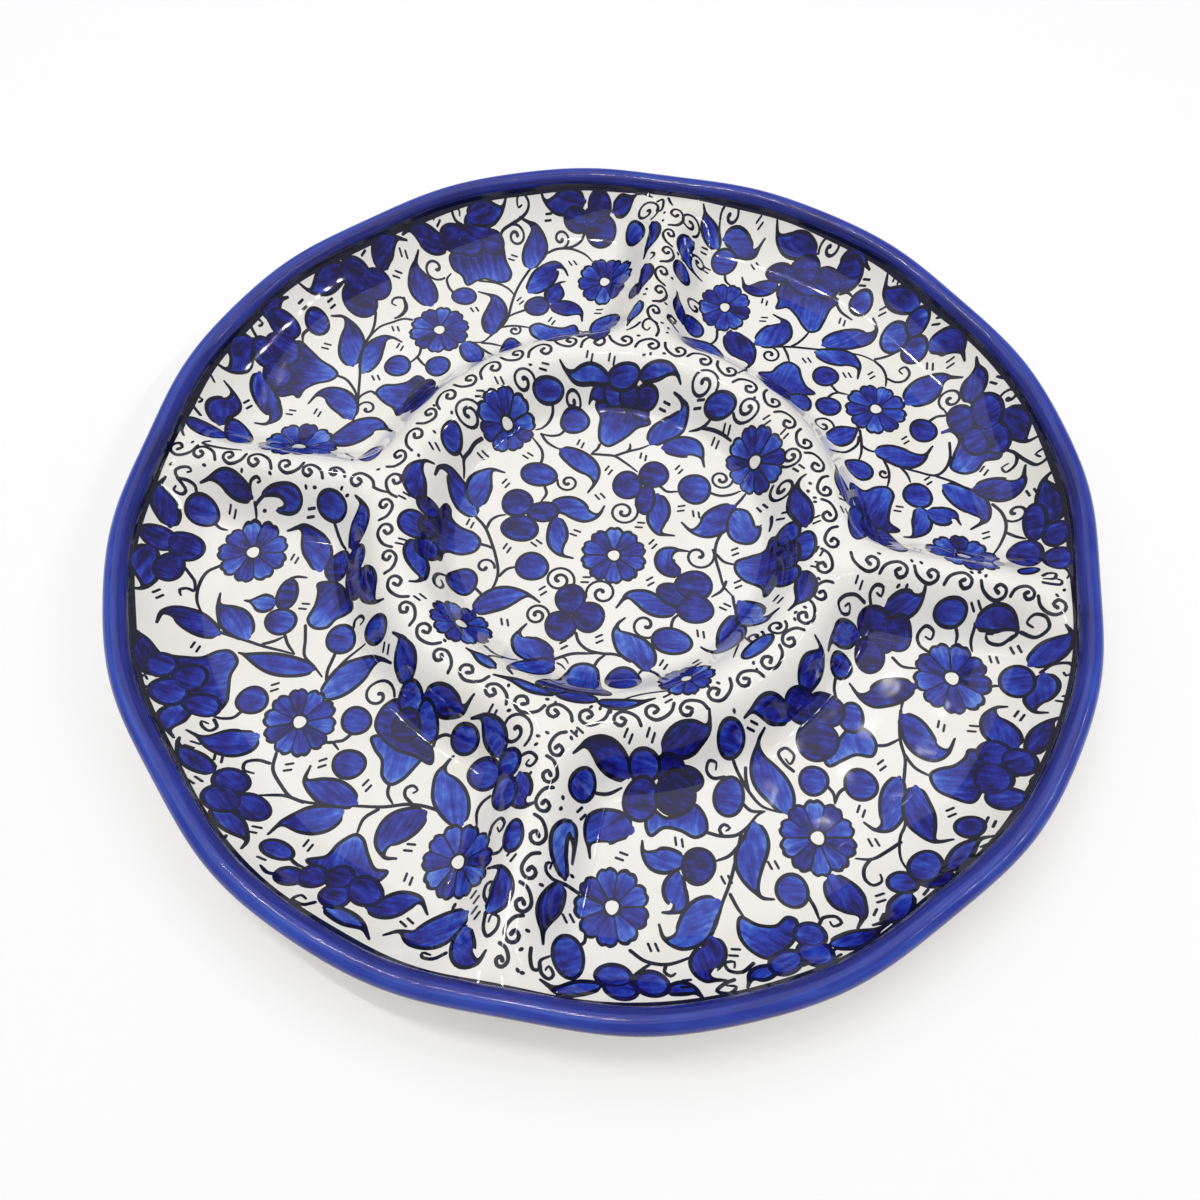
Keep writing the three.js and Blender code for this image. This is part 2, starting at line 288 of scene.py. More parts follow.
        t = np.linspace(0, 2 * math.pi, petals * 16, endpoint=False)
        part = (t - math.radians(turn)) * petals / (2 * math.pi) % 1
        edge = radius * petal_reach(part) + 0.15 * np.sin(3 * t + x)
        self.loop(place(edge + LINE / 2, t), INK)
        middle = place(np.zeros(1), np.zeros(1))[0]
        self.loop(place(edge - LINE / 2, t), BLUE, (middle, middle + radius), (0, 0))
        eye = EYE * radius
        self.loop(place(np.full(18, eye + 0.75 * LINE), np.linspace(0, 6.1, 18)), INK)
        for k in range(petals):
            if math.sin(5.3 * k + x) > 0.1:
                between = math.radians(turn) + k * 2 * math.pi / petals
                run = np.array([eye, 0.5 * radius, PETAL_FOOT * radius])
                self.line(*place(run, np.full(3, between)), width=0.5 * LINE)
        start_radius = eye + 0.8 * LINE
        for k in range(petals):
            middle = math.radians(turn) + (k + 0.5) * 2 * math.pi / petals
            reach = math.pi / petals
            gap = LINE * (0.36 + 0.12 * math.sin(1.9 * k + y))
            side = np.linspace(-1, 1, 11)
            outer_turn = middle + side * (reach - gap / radius)
            part = (outer_turn - math.radians(turn)) * petals / (2 * math.pi) % 1
            outer = radius * petal_reach(part) - LINE / 2 - PETAL_PULL * radius * np.abs(side) ** 6
            inner_turn = middle + side[::-5] * max(reach - gap / start_radius, 0.05)
            turns = np.concatenate([outer_turn, inner_turn])
            petal = place(np.concatenate([outer, np.full(3, start_radius)]), turns)
            start, end = place(np.array([start_radius, radius]), np.array([middle, middle]))
            light = 0.58 + 0.34 * math.sin(2.4 * k + x)
            self.loop(petal, BLUE, (start, end), (0.05 + 0.35 * light, light))
        t = np.linspace(0, 2 * math.pi, 22, endpoint=False)
        self.loop(place(eye * (1 + 0.05 * np.cos(3 * t + x)), t), GROUND)


def paint_centre_stems(p):
    p.line((-49.9, 28.8), (-51.8, 26), (-53, 22.5), (-54.2, 19.2), (-53.6, 16), (-53.2, 13.3))
    p.line((-56, 20.3), (-55, 19.6), (-54.1, 18.6))
    p.line((-28.2, 25.2), (-28.1, 28.1), (-29, 31), (-31.3, 33.8), (-33.2, 35.7))
    p.line((-28.5, 49.3), (-28, 47.1), (-29, 43.3), (-30.9, 40.5), (-32.8, 39.5))
    p.line((-22.5, 41), (-24, 38.8), (-27, 37.8), (-30.5, 38))
    p.line((-30.5, 38), (-28, 35), (-25.1, 33.3), (-22.8, 32.6))
    p.line((-9, 37.1), (-9.4, 35.2), (-11.1, 32.9))
    p.line((-11, 32.5), (-6.6, 32.9), (-3, 33), (1, 31), (3.5, 29.5), (6, 27.8))
    p.line((-3, 33), (1.8, 36), (5.5, 37.8), (8.3, 39.8))
    p.line((1.2, 35.5), (2, 37.5), (1.7, 39.3))
    p.line((29, 51), (28, 50), (26, 49), (22, 48.3))
    p.line((26.5, 49), (30.5, 47.8), (34, 46), (37.2, 43.6))
    p.line((32, 23.5), (36, 22.8), (40, 24), (43, 26))
    p.line((15, 23), (17.5, 21.3), (21.5, 22))
    p.line((-25, 16), (-23.8, 13), (-25, 9.5))
    p.line((-46, -0.5), (-42, -4), (-38.5, -9.5), (-35.5, -15.5), (-33.7, -21), (-34.2, -27), (-38.8, -36.8))
    p.line((-42, -11), (-39, -11.4), (-36.8, -12.2))
    p.line((-41.3, -4.8), (-40.4, -1), (-38.5, 1), (-36, 2))
    p.line((-33, -22), (-31, -19), (-28, -17.5))
    p.line((-48.8, -26.6), (-51.3, -27.6), (-52, -30.5), (-51, -33.5), (-49.5, -34), (-49, -32), (-50.2, -30))
    p.line((-39.8, -28), (-37.8, -29.5), (-36, -31.5))
    p.line((26.2, -32), (26.5, -28), (29, -25))
    p.line((-4, -38.5), (-2.5, -41.5), (1, -43.8), (6, -44.2), (9.2, -43.8), (14, -44.6), (20.5, -47.2))
    p.line((-9.5, -49), (-4, -46), (1.5, -44.9), (4, -44.4))
    p.line((-30.5, -51.8), (-27, -53.8), (-23, -53.8), (-20.3, -52.6))
    p.line((-24.6, -54.8), (-27, -55.6), (-28.5, -57))
    p.line((-8, -50), (-6.5, -50.5), (-5, -51.8), width=0.7)
    p.line((-6.8, -47.6), (-5.5, -48.2), (-4.5, -49.6), width=0.7)
    p.line((3.8, -49), (4.8, -46.6), (6.6, -44.6))
    p.line((21.3, -47.5), (19, -47.9), (18.3, -49.5))
    p.line((21.3, -47.5), (23.5, -48.5), (25.2, -51), (25.8, -53.5))
    p.line((41.8, 19.5), (43.6, 22.6), (45, 25.5))
    p.line((38.5, 8), (37.2, 4), (37, 0), (37.6, -3), (39.5, -8), (41.5, -13), (44.8, -16.2))
    p.line((37.5, -1), (40.5, -3.5), (44.4, -4))
    p.line((42, -11), (41, -14.5), (38, -17.5))
    p.line((44.8, -16.2), (46, -20.5), (47.3, -23.5))
    p.line((49, -29), (49.2, -34), (50.4, -37), (51.4, -38.8), width=0.7)
    p.line((47.8, -38), (47, -41.5), (46.4, -44.5), width=0.7)
    p.line((15.3, -64.8), (18, -63), (21.5, -61.3), (25, -60.2), (31, -58.5), (38, -55), width=0.7)
    p.line((54.3, 15), (54.6, 12.5), (54.3, 10))


def paint_centre_curls(p):
    for sx, sy, cx, cy, turns in (
        (7.6, 14, 3.8, 10.3, -1.6), (-21, 19.3, -17.2, 19, 1.3), (-8, -21.5, -13, -20, 1.7),
        (-3, -25, 1.8, -22.5, -1.4), (22, -34.5, 17.8, -31.8, -1.1), (36.2, 0.5, 31.7, -2.8, -1.2),
        (-13.7, -34, -17.8, -34.3, 1.5), (-18.8, 50.8, -21.7, 52.1, 1.1), (-35, 52, -39, 50.6, 1.25),
        (-51.3, 36.4, -54.8, 32.6, 1.6), (29.2, 57.5, 24.4, 60, 1.5), (36.4, 50.6, 41, 51.5, 1.6),
        (39.8, 29.8, 35.7, 29.8, -1.4), (55, 30.5, 57.6, 33.2, 1.5), (53.4, 25.3, 56.6, 23, 1.4),
        (-35.2, -19.3, -38.6, -19.4, 0.9), (60.8, -30.5, 58.4, -32.6, -1.3), (54.2, -34, 52.2, -36, -1.1),
    ):
        p.curl(sx, sy, cx, cy, turns)


def paint_centre_ticks(p):
    for x, y, angle in (
        (-4, 26.6, 65), (-5.2, 15.2, -42), (-11, -1, -12), (-23.3, -7.3, -30), (-32.7, -11, 70),
        (7.2, 34.5, 88), (20.5, 31.3, 60), (23.4, 15.2, 20), (28.8, 13.7, -75), (10.3, 6, 5),
        (15.8, -0.8, 58), (17, -15.3, 42), (-4.3, -18.4, 10), (-17.6, -25, 45), (36, -31.8, -75),
        (-15.8, 36.2, 78), (-32.7, 57.1, 5), (-47, 47.6, -50), (-52.6, 40.7, 20), (-33.4, 27.8, -27),
        (-48.8, 24.2, -20), (-17.5, 64.4, 88), (-9.5, 65, 88), (11.8, 55.3, -18), (24, 55, -3),
        (31.8, 44, 75), (35, 47, 85), (48, 46.8, 35), (54.5, 41.5, 55), (60.5, 28.5, -40),
        (-38.6, 14.8, 62), (-63, 16.5, -45), (-67.4, -5.8, -12), (-64, -23.2, 5), (-47.2, -3.6, 78),
        (-53, -41.8, -25), (-27.6, -38.6, -70), (-7.2, -43.2, 40), (3.8, -39.2, 35), (25.6, -44.8, 68),
        (36, -44, 45), (51, 19.3, -48), (57.8, 13.6, -20), (43.7, 1.1, 35), (46, -11.3, 35),
        (42.7, -20.5, -18), (58.5, -20.5, 55), (67.8, 8.6, 28), (69.5, -3.5, 68), (69, -8.7, -15),
        (28.3, -62.4, 40),
    ):
        p.tick(x, y, angle)
    for x, y in (
        (1.8, 67.8), (4, 68.5), (8.8, 69.3), (42.8, 55), (-37.5, 56.2), (-66.6, 31.9), (-60.1, 30.5), (-64, 21.4),
        (-66.8, 10.8), (-70, 1.6), (-69, -0.4), (66.6, 17), (66.8, 15.4), (64.3, 19.6), (64.7, 22.5), (66.4, -24.8),
        (63.7, -27), (63.6, -29.5), (70, -13.8), (52.4, -46.6), (53.6, -48.8), (42.6, -55), (39.8, -56.6),
        (35.8, -59.6), (48.5, -62), (6.2, -69.2), (9, -69.2), (12.2, -69.8), (-7, -69), (-4.4, -69.8),
        (-19.3, -66.6), (-41.6, -55.4),
    ):
        p.dot(x, y)


def paint_centre_leaves(p):
    p.leaf(8, (-22.5, 32.5), (-15, 29), (-9.5, 25), (-8, 20.5), (-9.6, 16))
    p.leaf(8, (-21.5, 8.5), (-14.5, 9.3), (-8.5, 6.5), (-4.5, 7.5), (-3, 11.5))
    p.leaf(7, (-18.5, 4), (-17, -2), (-16.3, -7), (-14, -10.3), (-10, -11))
    p.leaf(7.5, (14.5, 19.5), (16, 14), (15.8, 8), (17.5, 4), (22.5, 3.8))
    p.leaf(6.5, (26.5, -11), (21.5, -8.5), (20.5, -4.5), (23, -2), (28, -1.5))
    p.leaf(7.5, (27, -25), (21, -24.5), (15, -22), (10.5, -22), (7.4, -27))
    p.leaf(8.5, (-38.5, -36.4), (-33, -31.5), (-27.5, -28.6), (-22, -27.5), (-17.8, -29.4))
    p.leaf(10, (41.5, 19.3), (37, 13.3), (32.5, 8), (28, 6.8), (24.3, 9.5))
    p.leaf(9, (9, 40.5), (12, 46), (17, 50.5), (19, 54.5), (17, 57), (14.5, 58.4))
    p.leaf(9, (13.5, 39.5), (19, 41), (24, 41.5), (27.5, 38.5), (29.2, 34))
    p.leaf(7.5, (-46, -0.3), (-51, 4.5), (-54.5, 9.5), (-57.5, 12.3), (-60.3, 11), (-61, 7.5), tone=(0.8, 0.1))
    p.leaf(9, (-45.8, 3.8), (-47.4, 10), (-47.2, 15), (-44.5, 19.5), (-40, 19.2), tone=(0.3, 0.6))
    p.leaf(9, (-9.8, -48.5), (-14, -47.3), (-19, -46.3), (-22.3, -43.5), (-22.2, -41), (-20.5, -38))
    p.leaf(8.5, (-9.3, -49.8), (-13.5, -53.5), (-18.5, -56.5), (-21.2, -59.3), (-19.3, -61.8))
    p.leaf(3.6, (-24.8, -61), (-28.5, -59), (-32, -57.3), (-34.8, -56.2), tone=(0.9, 0.2))
    p.leaf(9.5, (21, -47.3), (18.5, -42.5), (13, -39.5), (9, -35.8), (8.8, -33), (10.8, -30.3), tone=(0.5, 0.75))
    p.leaf(8.5, (47, -23), (45.8, -29), (45, -35), (42, -39.3), (36.7, -36.5), tone=(0.1, 0.6))
    p.leaf(8.5, (47, -17.8), (50, -21.5), (51.8, -26), (54.5, -28.2), (58.8, -24.8), tone=(0.4, 0.9))
    p.berry(53.2, -40.3, 6, 2.3, 50, tone=(0.7, 0.5))
    p.blob(
        (42, 18), (46, 18), (48.4, 14.6), (49.4, 12.2), (51, 12.4), (51, 8.5), (49, 5.5), (45, 4.8), (41.5, 6.5),
        (40, 10.5), (40.3, 15), tone=(0.7, 0.4),
    )
    p.line((49.6, 12.1), (50.6, 11.9), (51.4, 13))


def paint_centre_flowers(p):
    for berry in (
        (-28, 20.5, 6.3, 4.6), (27, 24, 5.3, 6.1), (-23, -16.5, 5.2), (27, -36, 6.3, 4.6), (-19.6, 45.6, 5.1),
        (-30.4, 51.7, 5.2, 3.1, 20), (-58.6, 22.8, 3.1, 4.9), (31.5, 53.8, 5.2, 3.5, -15), (-44.5, -26.5, 4.7, 5),
        (13.8, -53.3, 5.2, 5.5),
    ):
        p.berry(*berry)
    p.cluster((
        (-23.5, 5.5, 5, 3.7, 15), (-33, 7.5, 5), (-30, -2.5, 5.8, 4.8), (10.7, 16.5, 3, 5.5), (3.5, 21.5, 4.7, 5.3),
        (12, 27.5, 4.8, 5), (25.5, -19, 5.5, 3.8, -15), (31.5, -14.5, 5.8, 5.3), (33, -23, 5.5, 5),
        (-8, -26.5, 4.6, 5), (-1, -32, 4.8, 5), (-9.5, -36.8, 4.6, 4.8),
    ), tone=(0.05, 0.35))
    paint_centre_north(p)
    paint_centre_west(p)
    paint_centre_east(p)
    paint_centre_south(p)
    p.rosette(3.4, -7.5, 11, 10, 8)
    p.rosette(-42.7, 37.5, 10.2, 9, squash=0.9, lean=45)
    p.rosette(46.3, 35.2, 11.8, 10, squash=0.72, lean=-55)
    p.rosette(-39.6, -45.6, 9.8, 10, squash=0.88, lean=-41)
    p.rosette(33, -53.3, 8.8, 9, squash=0.78, lean=32)


def paint_centre_north(p):
    p.blob(
        (-13, 53.6), (-10.7, 49.5), (-10.2, 43), (-9, 38.6), (-6, 36.9), (-2.5, 39.5), (0.5, 43), (3.2, 46.8),
        (7.3, 49.5), (4, 54), (-4, 55), axis=((-2, 54), (-5, 38)), tone=(0.0, 0.8),
    )
    p.leaf(4.5, (-9, 57.5), (-12.5, 56.3), (-15, 54.8), (-15.6, 53), tone=(0.1, 0.2))
    p.leaf(5.5, (0.5, 54.5), (4, 53), (7.3, 49.6), tone=(0.0, 0.3))
    p.berry(-6.5, 57, 4.2, 3.2, tone=(0.1, 0.4))
    p.berry(4.8, 57.2, 4, 3, tone=(0.0, 0.3))
    p.berry(-1.5, 57, 3.5, 3, tone=(0.0, 0.1))
    p.berry(-4.3, 61.3, 5.5, 3.2, 15, tone=(0.2, 0.5))
    p.leaf(5, (-9.5, 59.6), (-16, 60), (-22, 57.8), (-25.5, 58.6), (-27.6, 60.6))
    p.leaf(5.2, (1.5, 61.5), (6, 63.5), (11, 64.3), (14.6, 62.8), (16.3, 60.4))


def paint_centre_west(p):
    p.leaf(7, (-63, -5), (-66, 1), (-66.5, 6), (-64.5, 10), (-62, 10.8), tone=(0.1, 0.5))
    p.leaf(6.4, (-60, -20), (-59.5, -25), (-56.5, -30), (-54.5, -34), (-55.5, -36.2), (-57.5, -37), tone=(0.3, 0.7))
    p.blob(
        (-57.5, -5), (-56, 0.8), (-55, 0), (-54, -3), (-50, -5.8), (-45, -7.3), (-42.3, -10), (-43, -13.8),
        (-47, -16), (-51.5, -16.3), (-53, -18), (-53, -22), (-56, -20), (-57.5, -12),
        axis=((-57, -10), (-43, -11)), tone=(0.0, 0.75),
    )
    p.berry(-60.3, -5, 3.2, 3.2, tone=(0.1, 0.3))
    p.berry(-62.4, -14.5, 4.3, 5.3, tone=(0.5, 0.1))
    p.berry(-56.8, -20.8, 3.2, 4.4, tone=(0.1, 0.4))
    p.berry(-58.6, -12.4, 2.6, 4.2, tone=(0.0, 0.0))


def paint_centre_east(p):
    p.leaf(6.2, (64.8, 6.5), (63.6, 12), (61.2, 17), (60.4, 21), (61.4, 24.5), (63, 26), tone=(0.2, 0.4))
    p.leaf(6.6, (64, -11), (66.3, -16), (65.3, -21), (61.6, -26.2), tone=(0.1, 0.4))
    p.blob(
        (55.2, 7), (54, 3), (49, 0), (44.5, -3), (44.8, -6.5), (48, -9.5), (52, -10.8), (54.2, -13), (55, -17),
        (57, -14), (59, -6), (59, 3), (57.5, 6), axis=((58, -4), (45, -5)), tone=(0.0, 0.75),
    )
    p.berry(60, 5.6, 3.2, 4.2, tone=(0.2, 0.5))
    p.berry(64.9, -1, 3.3, 5.6, tone=(0.1, 0.6))
    p.berry(60.6, -11, 3.6, 4.2, tone=(0.2, 0.4))
    p.berry(60.8, -3, 3, 5.4, tone=(0.0, 0.1))


def paint_centre_south(p):
    p.leaf(3, (-5, -66.5), (-12, -66), (-18, -64.3), (-24.5, -63.8), tone=(0.2, 0.8))
    p.leaf(3.4, (8, -67), (14, -66.8), (20, -65.2), (24.5, -63), tone=(0.2, 0.8))
    p.blob(
        (-10, -60.5), (-6, -58.5), (-4.6, -54), (-2.5, -50), (1.5, -48.7), (4.8, -50), (6.3, -55), (8, -60),
        (11.2, -63), (5, -64), (0, -64), (-6, -63.3), (-11.5, -63.5), axis=((1, -64), (1, -49)), tone=(0.0, 0.85),
    )
    p.berry(1.3, -66.2, 6, 2.1, tone=(0.1, 0.3))
    p.berry(-5.4, -64.6, 3, 1.6, tone=(0.0, 0.4))


RING_SCROLLS, FIRST_SCROLL_ANGLE = 46, 94.6
SCROLL_PATH = ((-6, -1.8), (-5, 0.5), (-2.5, 2.2), (0, 2.6), (2.2, 1), (2, -1), (0, -1.8), (-1.3, -0.3), (0, 0.6))


def paint_scroll(p, x, y, direction, side, size=1.0):
    """One curl of a scroll border. It runs in the direction, with its back to the side, 1 or -1."""
    a = math.radians(direction)
    points = []
    for u, v in SCROLL_PATH:
        u, v = size * u, size * v * side
        points.append((x + u * math.cos(a) - v * math.sin(a), y + u * math.sin(a) + v * math.cos(a)))
    p.line(*points, taper=1.2)


def paint_ring_scrolls(p):
    for k in range(RING_SCROLLS):
        angle = FIRST_SCROLL_ANGLE - k * 360 / RING_SCROLLS
        side = -1 if k % 2 == 0 else 1
        r = RING_RADIUS + 0.2 - 0.5 * side + 0.5 * math.sin(2.3 * k)
        a = math.radians(angle)
        turn = angle - 90 + 5 * math.sin(1.7 * k)
        paint_scroll(p, r * math.cos(a), r * math.sin(a), turn, side, 1 + 0.06 * math.sin(3.1 * k))


def paint_ridge_scrolls(p):
    """The rows of scrolls along the four radial ridges, each with the marks beside it."""
    for direction, scrolls in (
        (180, ((-147.4, -0.4, 1, 1.05), (-139.3, -1.2, -1, 0.95), (-129, -1, 1, 0.9), (-120, -1.2, -1, 1),
               (-109.3, -1.1, 1, 0.95), (-101.2, -2, -1, 0.85), (-92.6, -1, -1, 0.65), (-84, -2.8, -1, 1))),
        (-3, ((86, -4.6, -1, 1.1), (95.5, -5.8, 1, 1), (105.5, -5.7, -1, 0.95), (116, -6.3, 1, 1),
              (127, -7.4, -1, 1), (136, -7.2, 1, 0.85), (145.4, -9.6, -1, 1.05))),
        (90, ((2.5, 89.2, 1, 0.95), (3.1, 99.4, -1, 1), (2.6, 109, 1, 1), (3, 119.8, -1, 1),
              (2.6, 129.2, 1, 0.95), (3.7, 140.6, -1, 1.15))),
        (-90, ((-1.2, -83.6, -1, 0.9), (-2.2, -91.8, 1, 0.9), (-1.9, -100.4, -1, 0.9), (-2.2, -109.6, 1, 0.95),
               (-2.1, -119.4, -1, 0.9), (-2.5, -128.4, 1, 0.9), (-3.2, -136.8, -1, 0.9), (-5, -143.8, 1, 0.7))),
    ):
        for x, y, side, size in scrolls:
            paint_scroll(p, x, y, direction, side, size)
    p.line((-78.2, -4.6), (-75.5, -5.6), (-72.5, -6))
    p.line((4.9, 77), (5.3, 80), (4, 83), (1.2, 84.6), (-0.6, 83), (-0.5, 80), (1.2, 78.9), (2, 80.4))
    p.line((-4.6, 146.9), (-2.7, 148), (-2.1, 145), (-2.5, 142), (-4, 141.6), (-4.3, 144))
    p.line((-0.5, 149), (0.3, 147), (1.6, 145))
    p.line((-3, 119), (-2, 118.4), (-1.8, 116.8), (-2.9, 115.5))
    p.line((-2, 82.4), (-3.6, 80.2), (-6.2, 78.2), width=1.1)
    p.line((12, 87), (9.5, 88.4), (8, 90.5), (8.8, 92.2), (10.3, 91.6), (10.2, 90), (9, 90.2))
    p.line((140.9, 0.5), (143, 2.2), (145.3, 2.3), (144.5, 0), (141, -0.8))
    p.line((140.6, -2.5), (143.5, -2.5), (146.4, -2), (146.8, -0.6), (144.5, 0.2))
    p.line((11.5, -120.4), (8, -119.5), (4, -119.4), (2, -118), (1.8, -116), (3, -115.4), (2.9, -117))
    p.line((2, -139), (2.3, -141.6), (3.6, -144.2), (5, -144), (5, -141.5), (7.2, -139.6))
    p.line((4.9, -142), (6, -144.8), (8.2, -145.8), (9.1, -144.4), (7.4, -142.4), (6.8, -143.6))
    p.line((-138.3, 4.6), (-140.2, 3.2), (-138.5, 2.4), (-132, 1.8), (-126, 2.2))
    p.leaf(4, (-5.2, 136.6), (-3.4, 132), (-3.7, 127), (-5.2, 122), (-5.6, 117.5), tone=(0.2, 0.6))
    p.leaf(4.5, (-4.6, 113.5), (-3.1, 109), (-3.8, 104), (-5, 98.5), tone=(0.1, 0.5))
    p.leaf(4, (-3.8, 94), (-4.1, 90), (-5.6, 86), (-6.5, 81), tone=(0.8, 0.4))
    p.leaf(4.6, (7.2, -118), (4.4, -112), (4, -106.5), (6, -103.6), (8, -107.5), (8.5, -113.3), tone=(0.3, 0.8))
    p.leaf(6, (6.6, -119.8), (5.4, -124), (4, -129), (4, -133), (4.8, -137), tone=(0.5, 0.0))
    p.berry(-6.6, 101.5, 1.8, 3.2, tone=(0.0, 0.1))
    for x, y in (
        (-1, 136), (-1, 140.5), (6.5, 108.7), (7, 122.2), (9, 121.5), (6, 95.2), (6, 84.8), (8.5, 83.8),
        (8.5, 80.5),
        (-2, 99.5), (-2.4, 97), (-1.5, 75.8), (99, -2), (102, -2.2), (122.5, -3.5), (147.3, -4), (145, -6.3),
        (118, -3), (120.5, -2.6), (88.5, -1), (3.3, -77.6), (2.2, -79.6), (-5, -79.4), (2.8, -96.7), (2.8, -99.9),
        (0.3, -134.9), (-0.4, -140), (-0.2, -145.4), (1.1, -145.8), (1.5, -122.1), (-143.5, 2.7), (-78.4, 2.4),
    ):
        p.dot(x, y)


def paint_centre_well(p):
    paint_ridge_scrolls(p)
    paint_centre_stems(p)
    paint_centre_curls(p)
    paint_centre_ticks(p)
    paint_centre_leaves(p)
    paint_centre_flowers(p)
    paint_ring_scrolls(p)


def paint_north_east_stems(p):
    p.line((22, 136.5), (22.4, 139.5), (21.2, 143), (20.9, 146.2))
    p.line((26, 127.8), (27, 124), (30, 121.5))
    p.line((39, 80), (39, 75), (38, 69), (36, 65))
    p.line((31.5, 99), (34, 96.5), (39, 94.3), (47, 93.8), (55, 95), (62, 95.4), (74, 95.8), (82, 95.5), (87, 93.5))
    p.line((87, 93.5), (90, 90.5), (91.5, 86.5), (91.5, 82.3))
    p.line((55, 95), (58, 98), (60.5, 102), (61.5, 104.5))
    p.line((52.5, 94), (54, 91), (55, 87.8))
    p.line((71.3, 121.5), (74, 121.8), (76, 120.2))
    p.line((71.5, 79), (74, 76.3), (77.5, 75.8))
    p.line((70.5, 73), (72.3, 75.2), (75, 76.2))
    p.line((91.8, 86), (95, 84.8), (98.5, 86), (99.8, 89), (98, 91.5), (96, 90), (97.3, 88.6))
    p.line((107.5, 68.3), (110.5, 71), (113.8, 71.8), (112.8, 74))
    p.line((130.5, 53.5), (132, 55.5), (136, 53), (136, 49), (133.5, 47), (132.3, 49), (134, 50))
    p.line((136, 53), (139, 49.5), (142, 47), (144.3, 48.5), (143.5, 52), (141.2, 51), (142.5, 49.5))
    p.line((115.3, 60), (115.5, 53), (113.5, 47.5), (110.5, 44.8), (104, 45.3), (97, 46.5), (92, 48))
    p.line((110.8, 44.5), (117, 43), (122.8, 40.5))
    p.line((83, 60), (83.8, 55), (84, 50), (83.3, 46.5))
    p.line((83.8, 53.5), (86, 51.9), (88.8, 51.2))
    p.line((82.8, 57), (82.4, 53.5), (79.5, 50), (75, 47.5), (71.5, 44))
    p.line((92, 48.5), (94, 44), (94.3, 40), (93.8, 37))
    p.line((97.5, 46.8), (100.5, 43.5), (101.8, 40.3))
    p.line((130, 35), (132.5, 32), (134, 28), (134, 24), (132, 18), (130, 14.5))
    p.line((134.2, 23.5), (137, 21.5), (139.5, 20.2))
    p.line((145, 6), (148.3, 4.8), (149.4, 2.4), (148.5, 0.8))
    p.line((26.4, 98.3), (26.6, 94), (25.2, 91.4), (22.6, 90.6))
    p.line((10.5, 92), (8, 91.5), (7.6, 89), (9.4, 88.2), (10, 89.6))
    p.line((70.5, 118), (72.6, 114.8), (77, 111.5))
    for sx, sy, cx, cy, turns in (
        (20.9, 146.2, 25, 147.3, -1.1), (11.5, 136, 9.3, 140, 1.4), (12.3, 126.5, 15.2, 127.6, -1.2),
        (48.5, 93.2, 47.5, 89.6, -1.2), (60.8, 135.2, 65, 136.2, -1.2), (112.6, 74, 114.8, 77.8, -1.3),
        (130.2, 71.5, 132.3, 74, -1.0), (94.3, 42.5, 92.3, 42.3, -0.9), (134, 28.5, 136.8, 31, 1.0),
        (20, 104.5, 16.3, 106, 1.2), (73.2, 57, 69.5, 59.5, 1.3),
    ):
        p.curl(sx, sy, cx, cy, turns)


def paint_north_east_leaves(p):
    p.leaf(7, (21.5, 137.5), (18, 141), (15.5, 145), (13.5, 149.2), tone=(0.6, 0.2))
    p.leaf(8, (23.5, 140.5), (28, 141), (32, 138), (36, 136.5), (39.5, 141), tone=(0.5, 0.1))
    p.leaf(6, (12, 134), (9.5, 131), (9.3, 126), (12, 122.3), (17.5, 121))
    p.leaf(10.5, (31, 98), (34.5, 93), (38.5, 88.5), (40.5, 84), (39, 79.5), tone=(0.1, 0.3))
    p.leaf(11, (42, 94.5), (46.5, 98), (50.5, 102), (51.5, 107), (47, 110.2), tone=(0.7, 0.1))
    p.leaf(9.5, (67, 98), (72, 101), (78, 103), (84, 104), (86.3, 107), (84.6, 111.5), tone=(0.7, 0.1))
    p.leaf(8, (64.5, 94), (70, 93), (77, 92.8), (81, 89.5), (81, 84), tone=(0.7, 0.2))
    p.leaf(8, (59.8, 135), (54, 137.8), (48.5, 139), (44.5, 141.5), (43, 146), tone=(0.2, 0.4))
    p.leaf(11, (99.5, 75.5), (103, 79.5), (107, 83), (111.5, 86), (117.5, 85.2), tone=(0.6, 0.2))
    p.leaf(8.5, (88.8, 51.5), (94, 51.5), (101, 50), (106, 52), (109.3, 57.5), tone=(0.7, 0.1))
    p.leaf(8.5, (71.5, 52.5), (75.5, 55.5), (79.5, 58.5), (83, 61.3), tail=0.05, tone=(0.6, 0.2))
    p.leaf(10, (113.5, 41), (119, 37.5), (125, 34), (127.5, 29), (123, 24.2), tone=(0.7, 0.2))
    p.leaf(9, (124, 41.3), (129, 41.2), (134.5, 40.2), (138, 42.5), (138.8, 48), tone=(0.1, 0.4))
    p.leaf(6.5, (147.3, 24), (146, 30), (144.5, 37), (144, 41), (147, 44), tone=(0.1, 0.2))


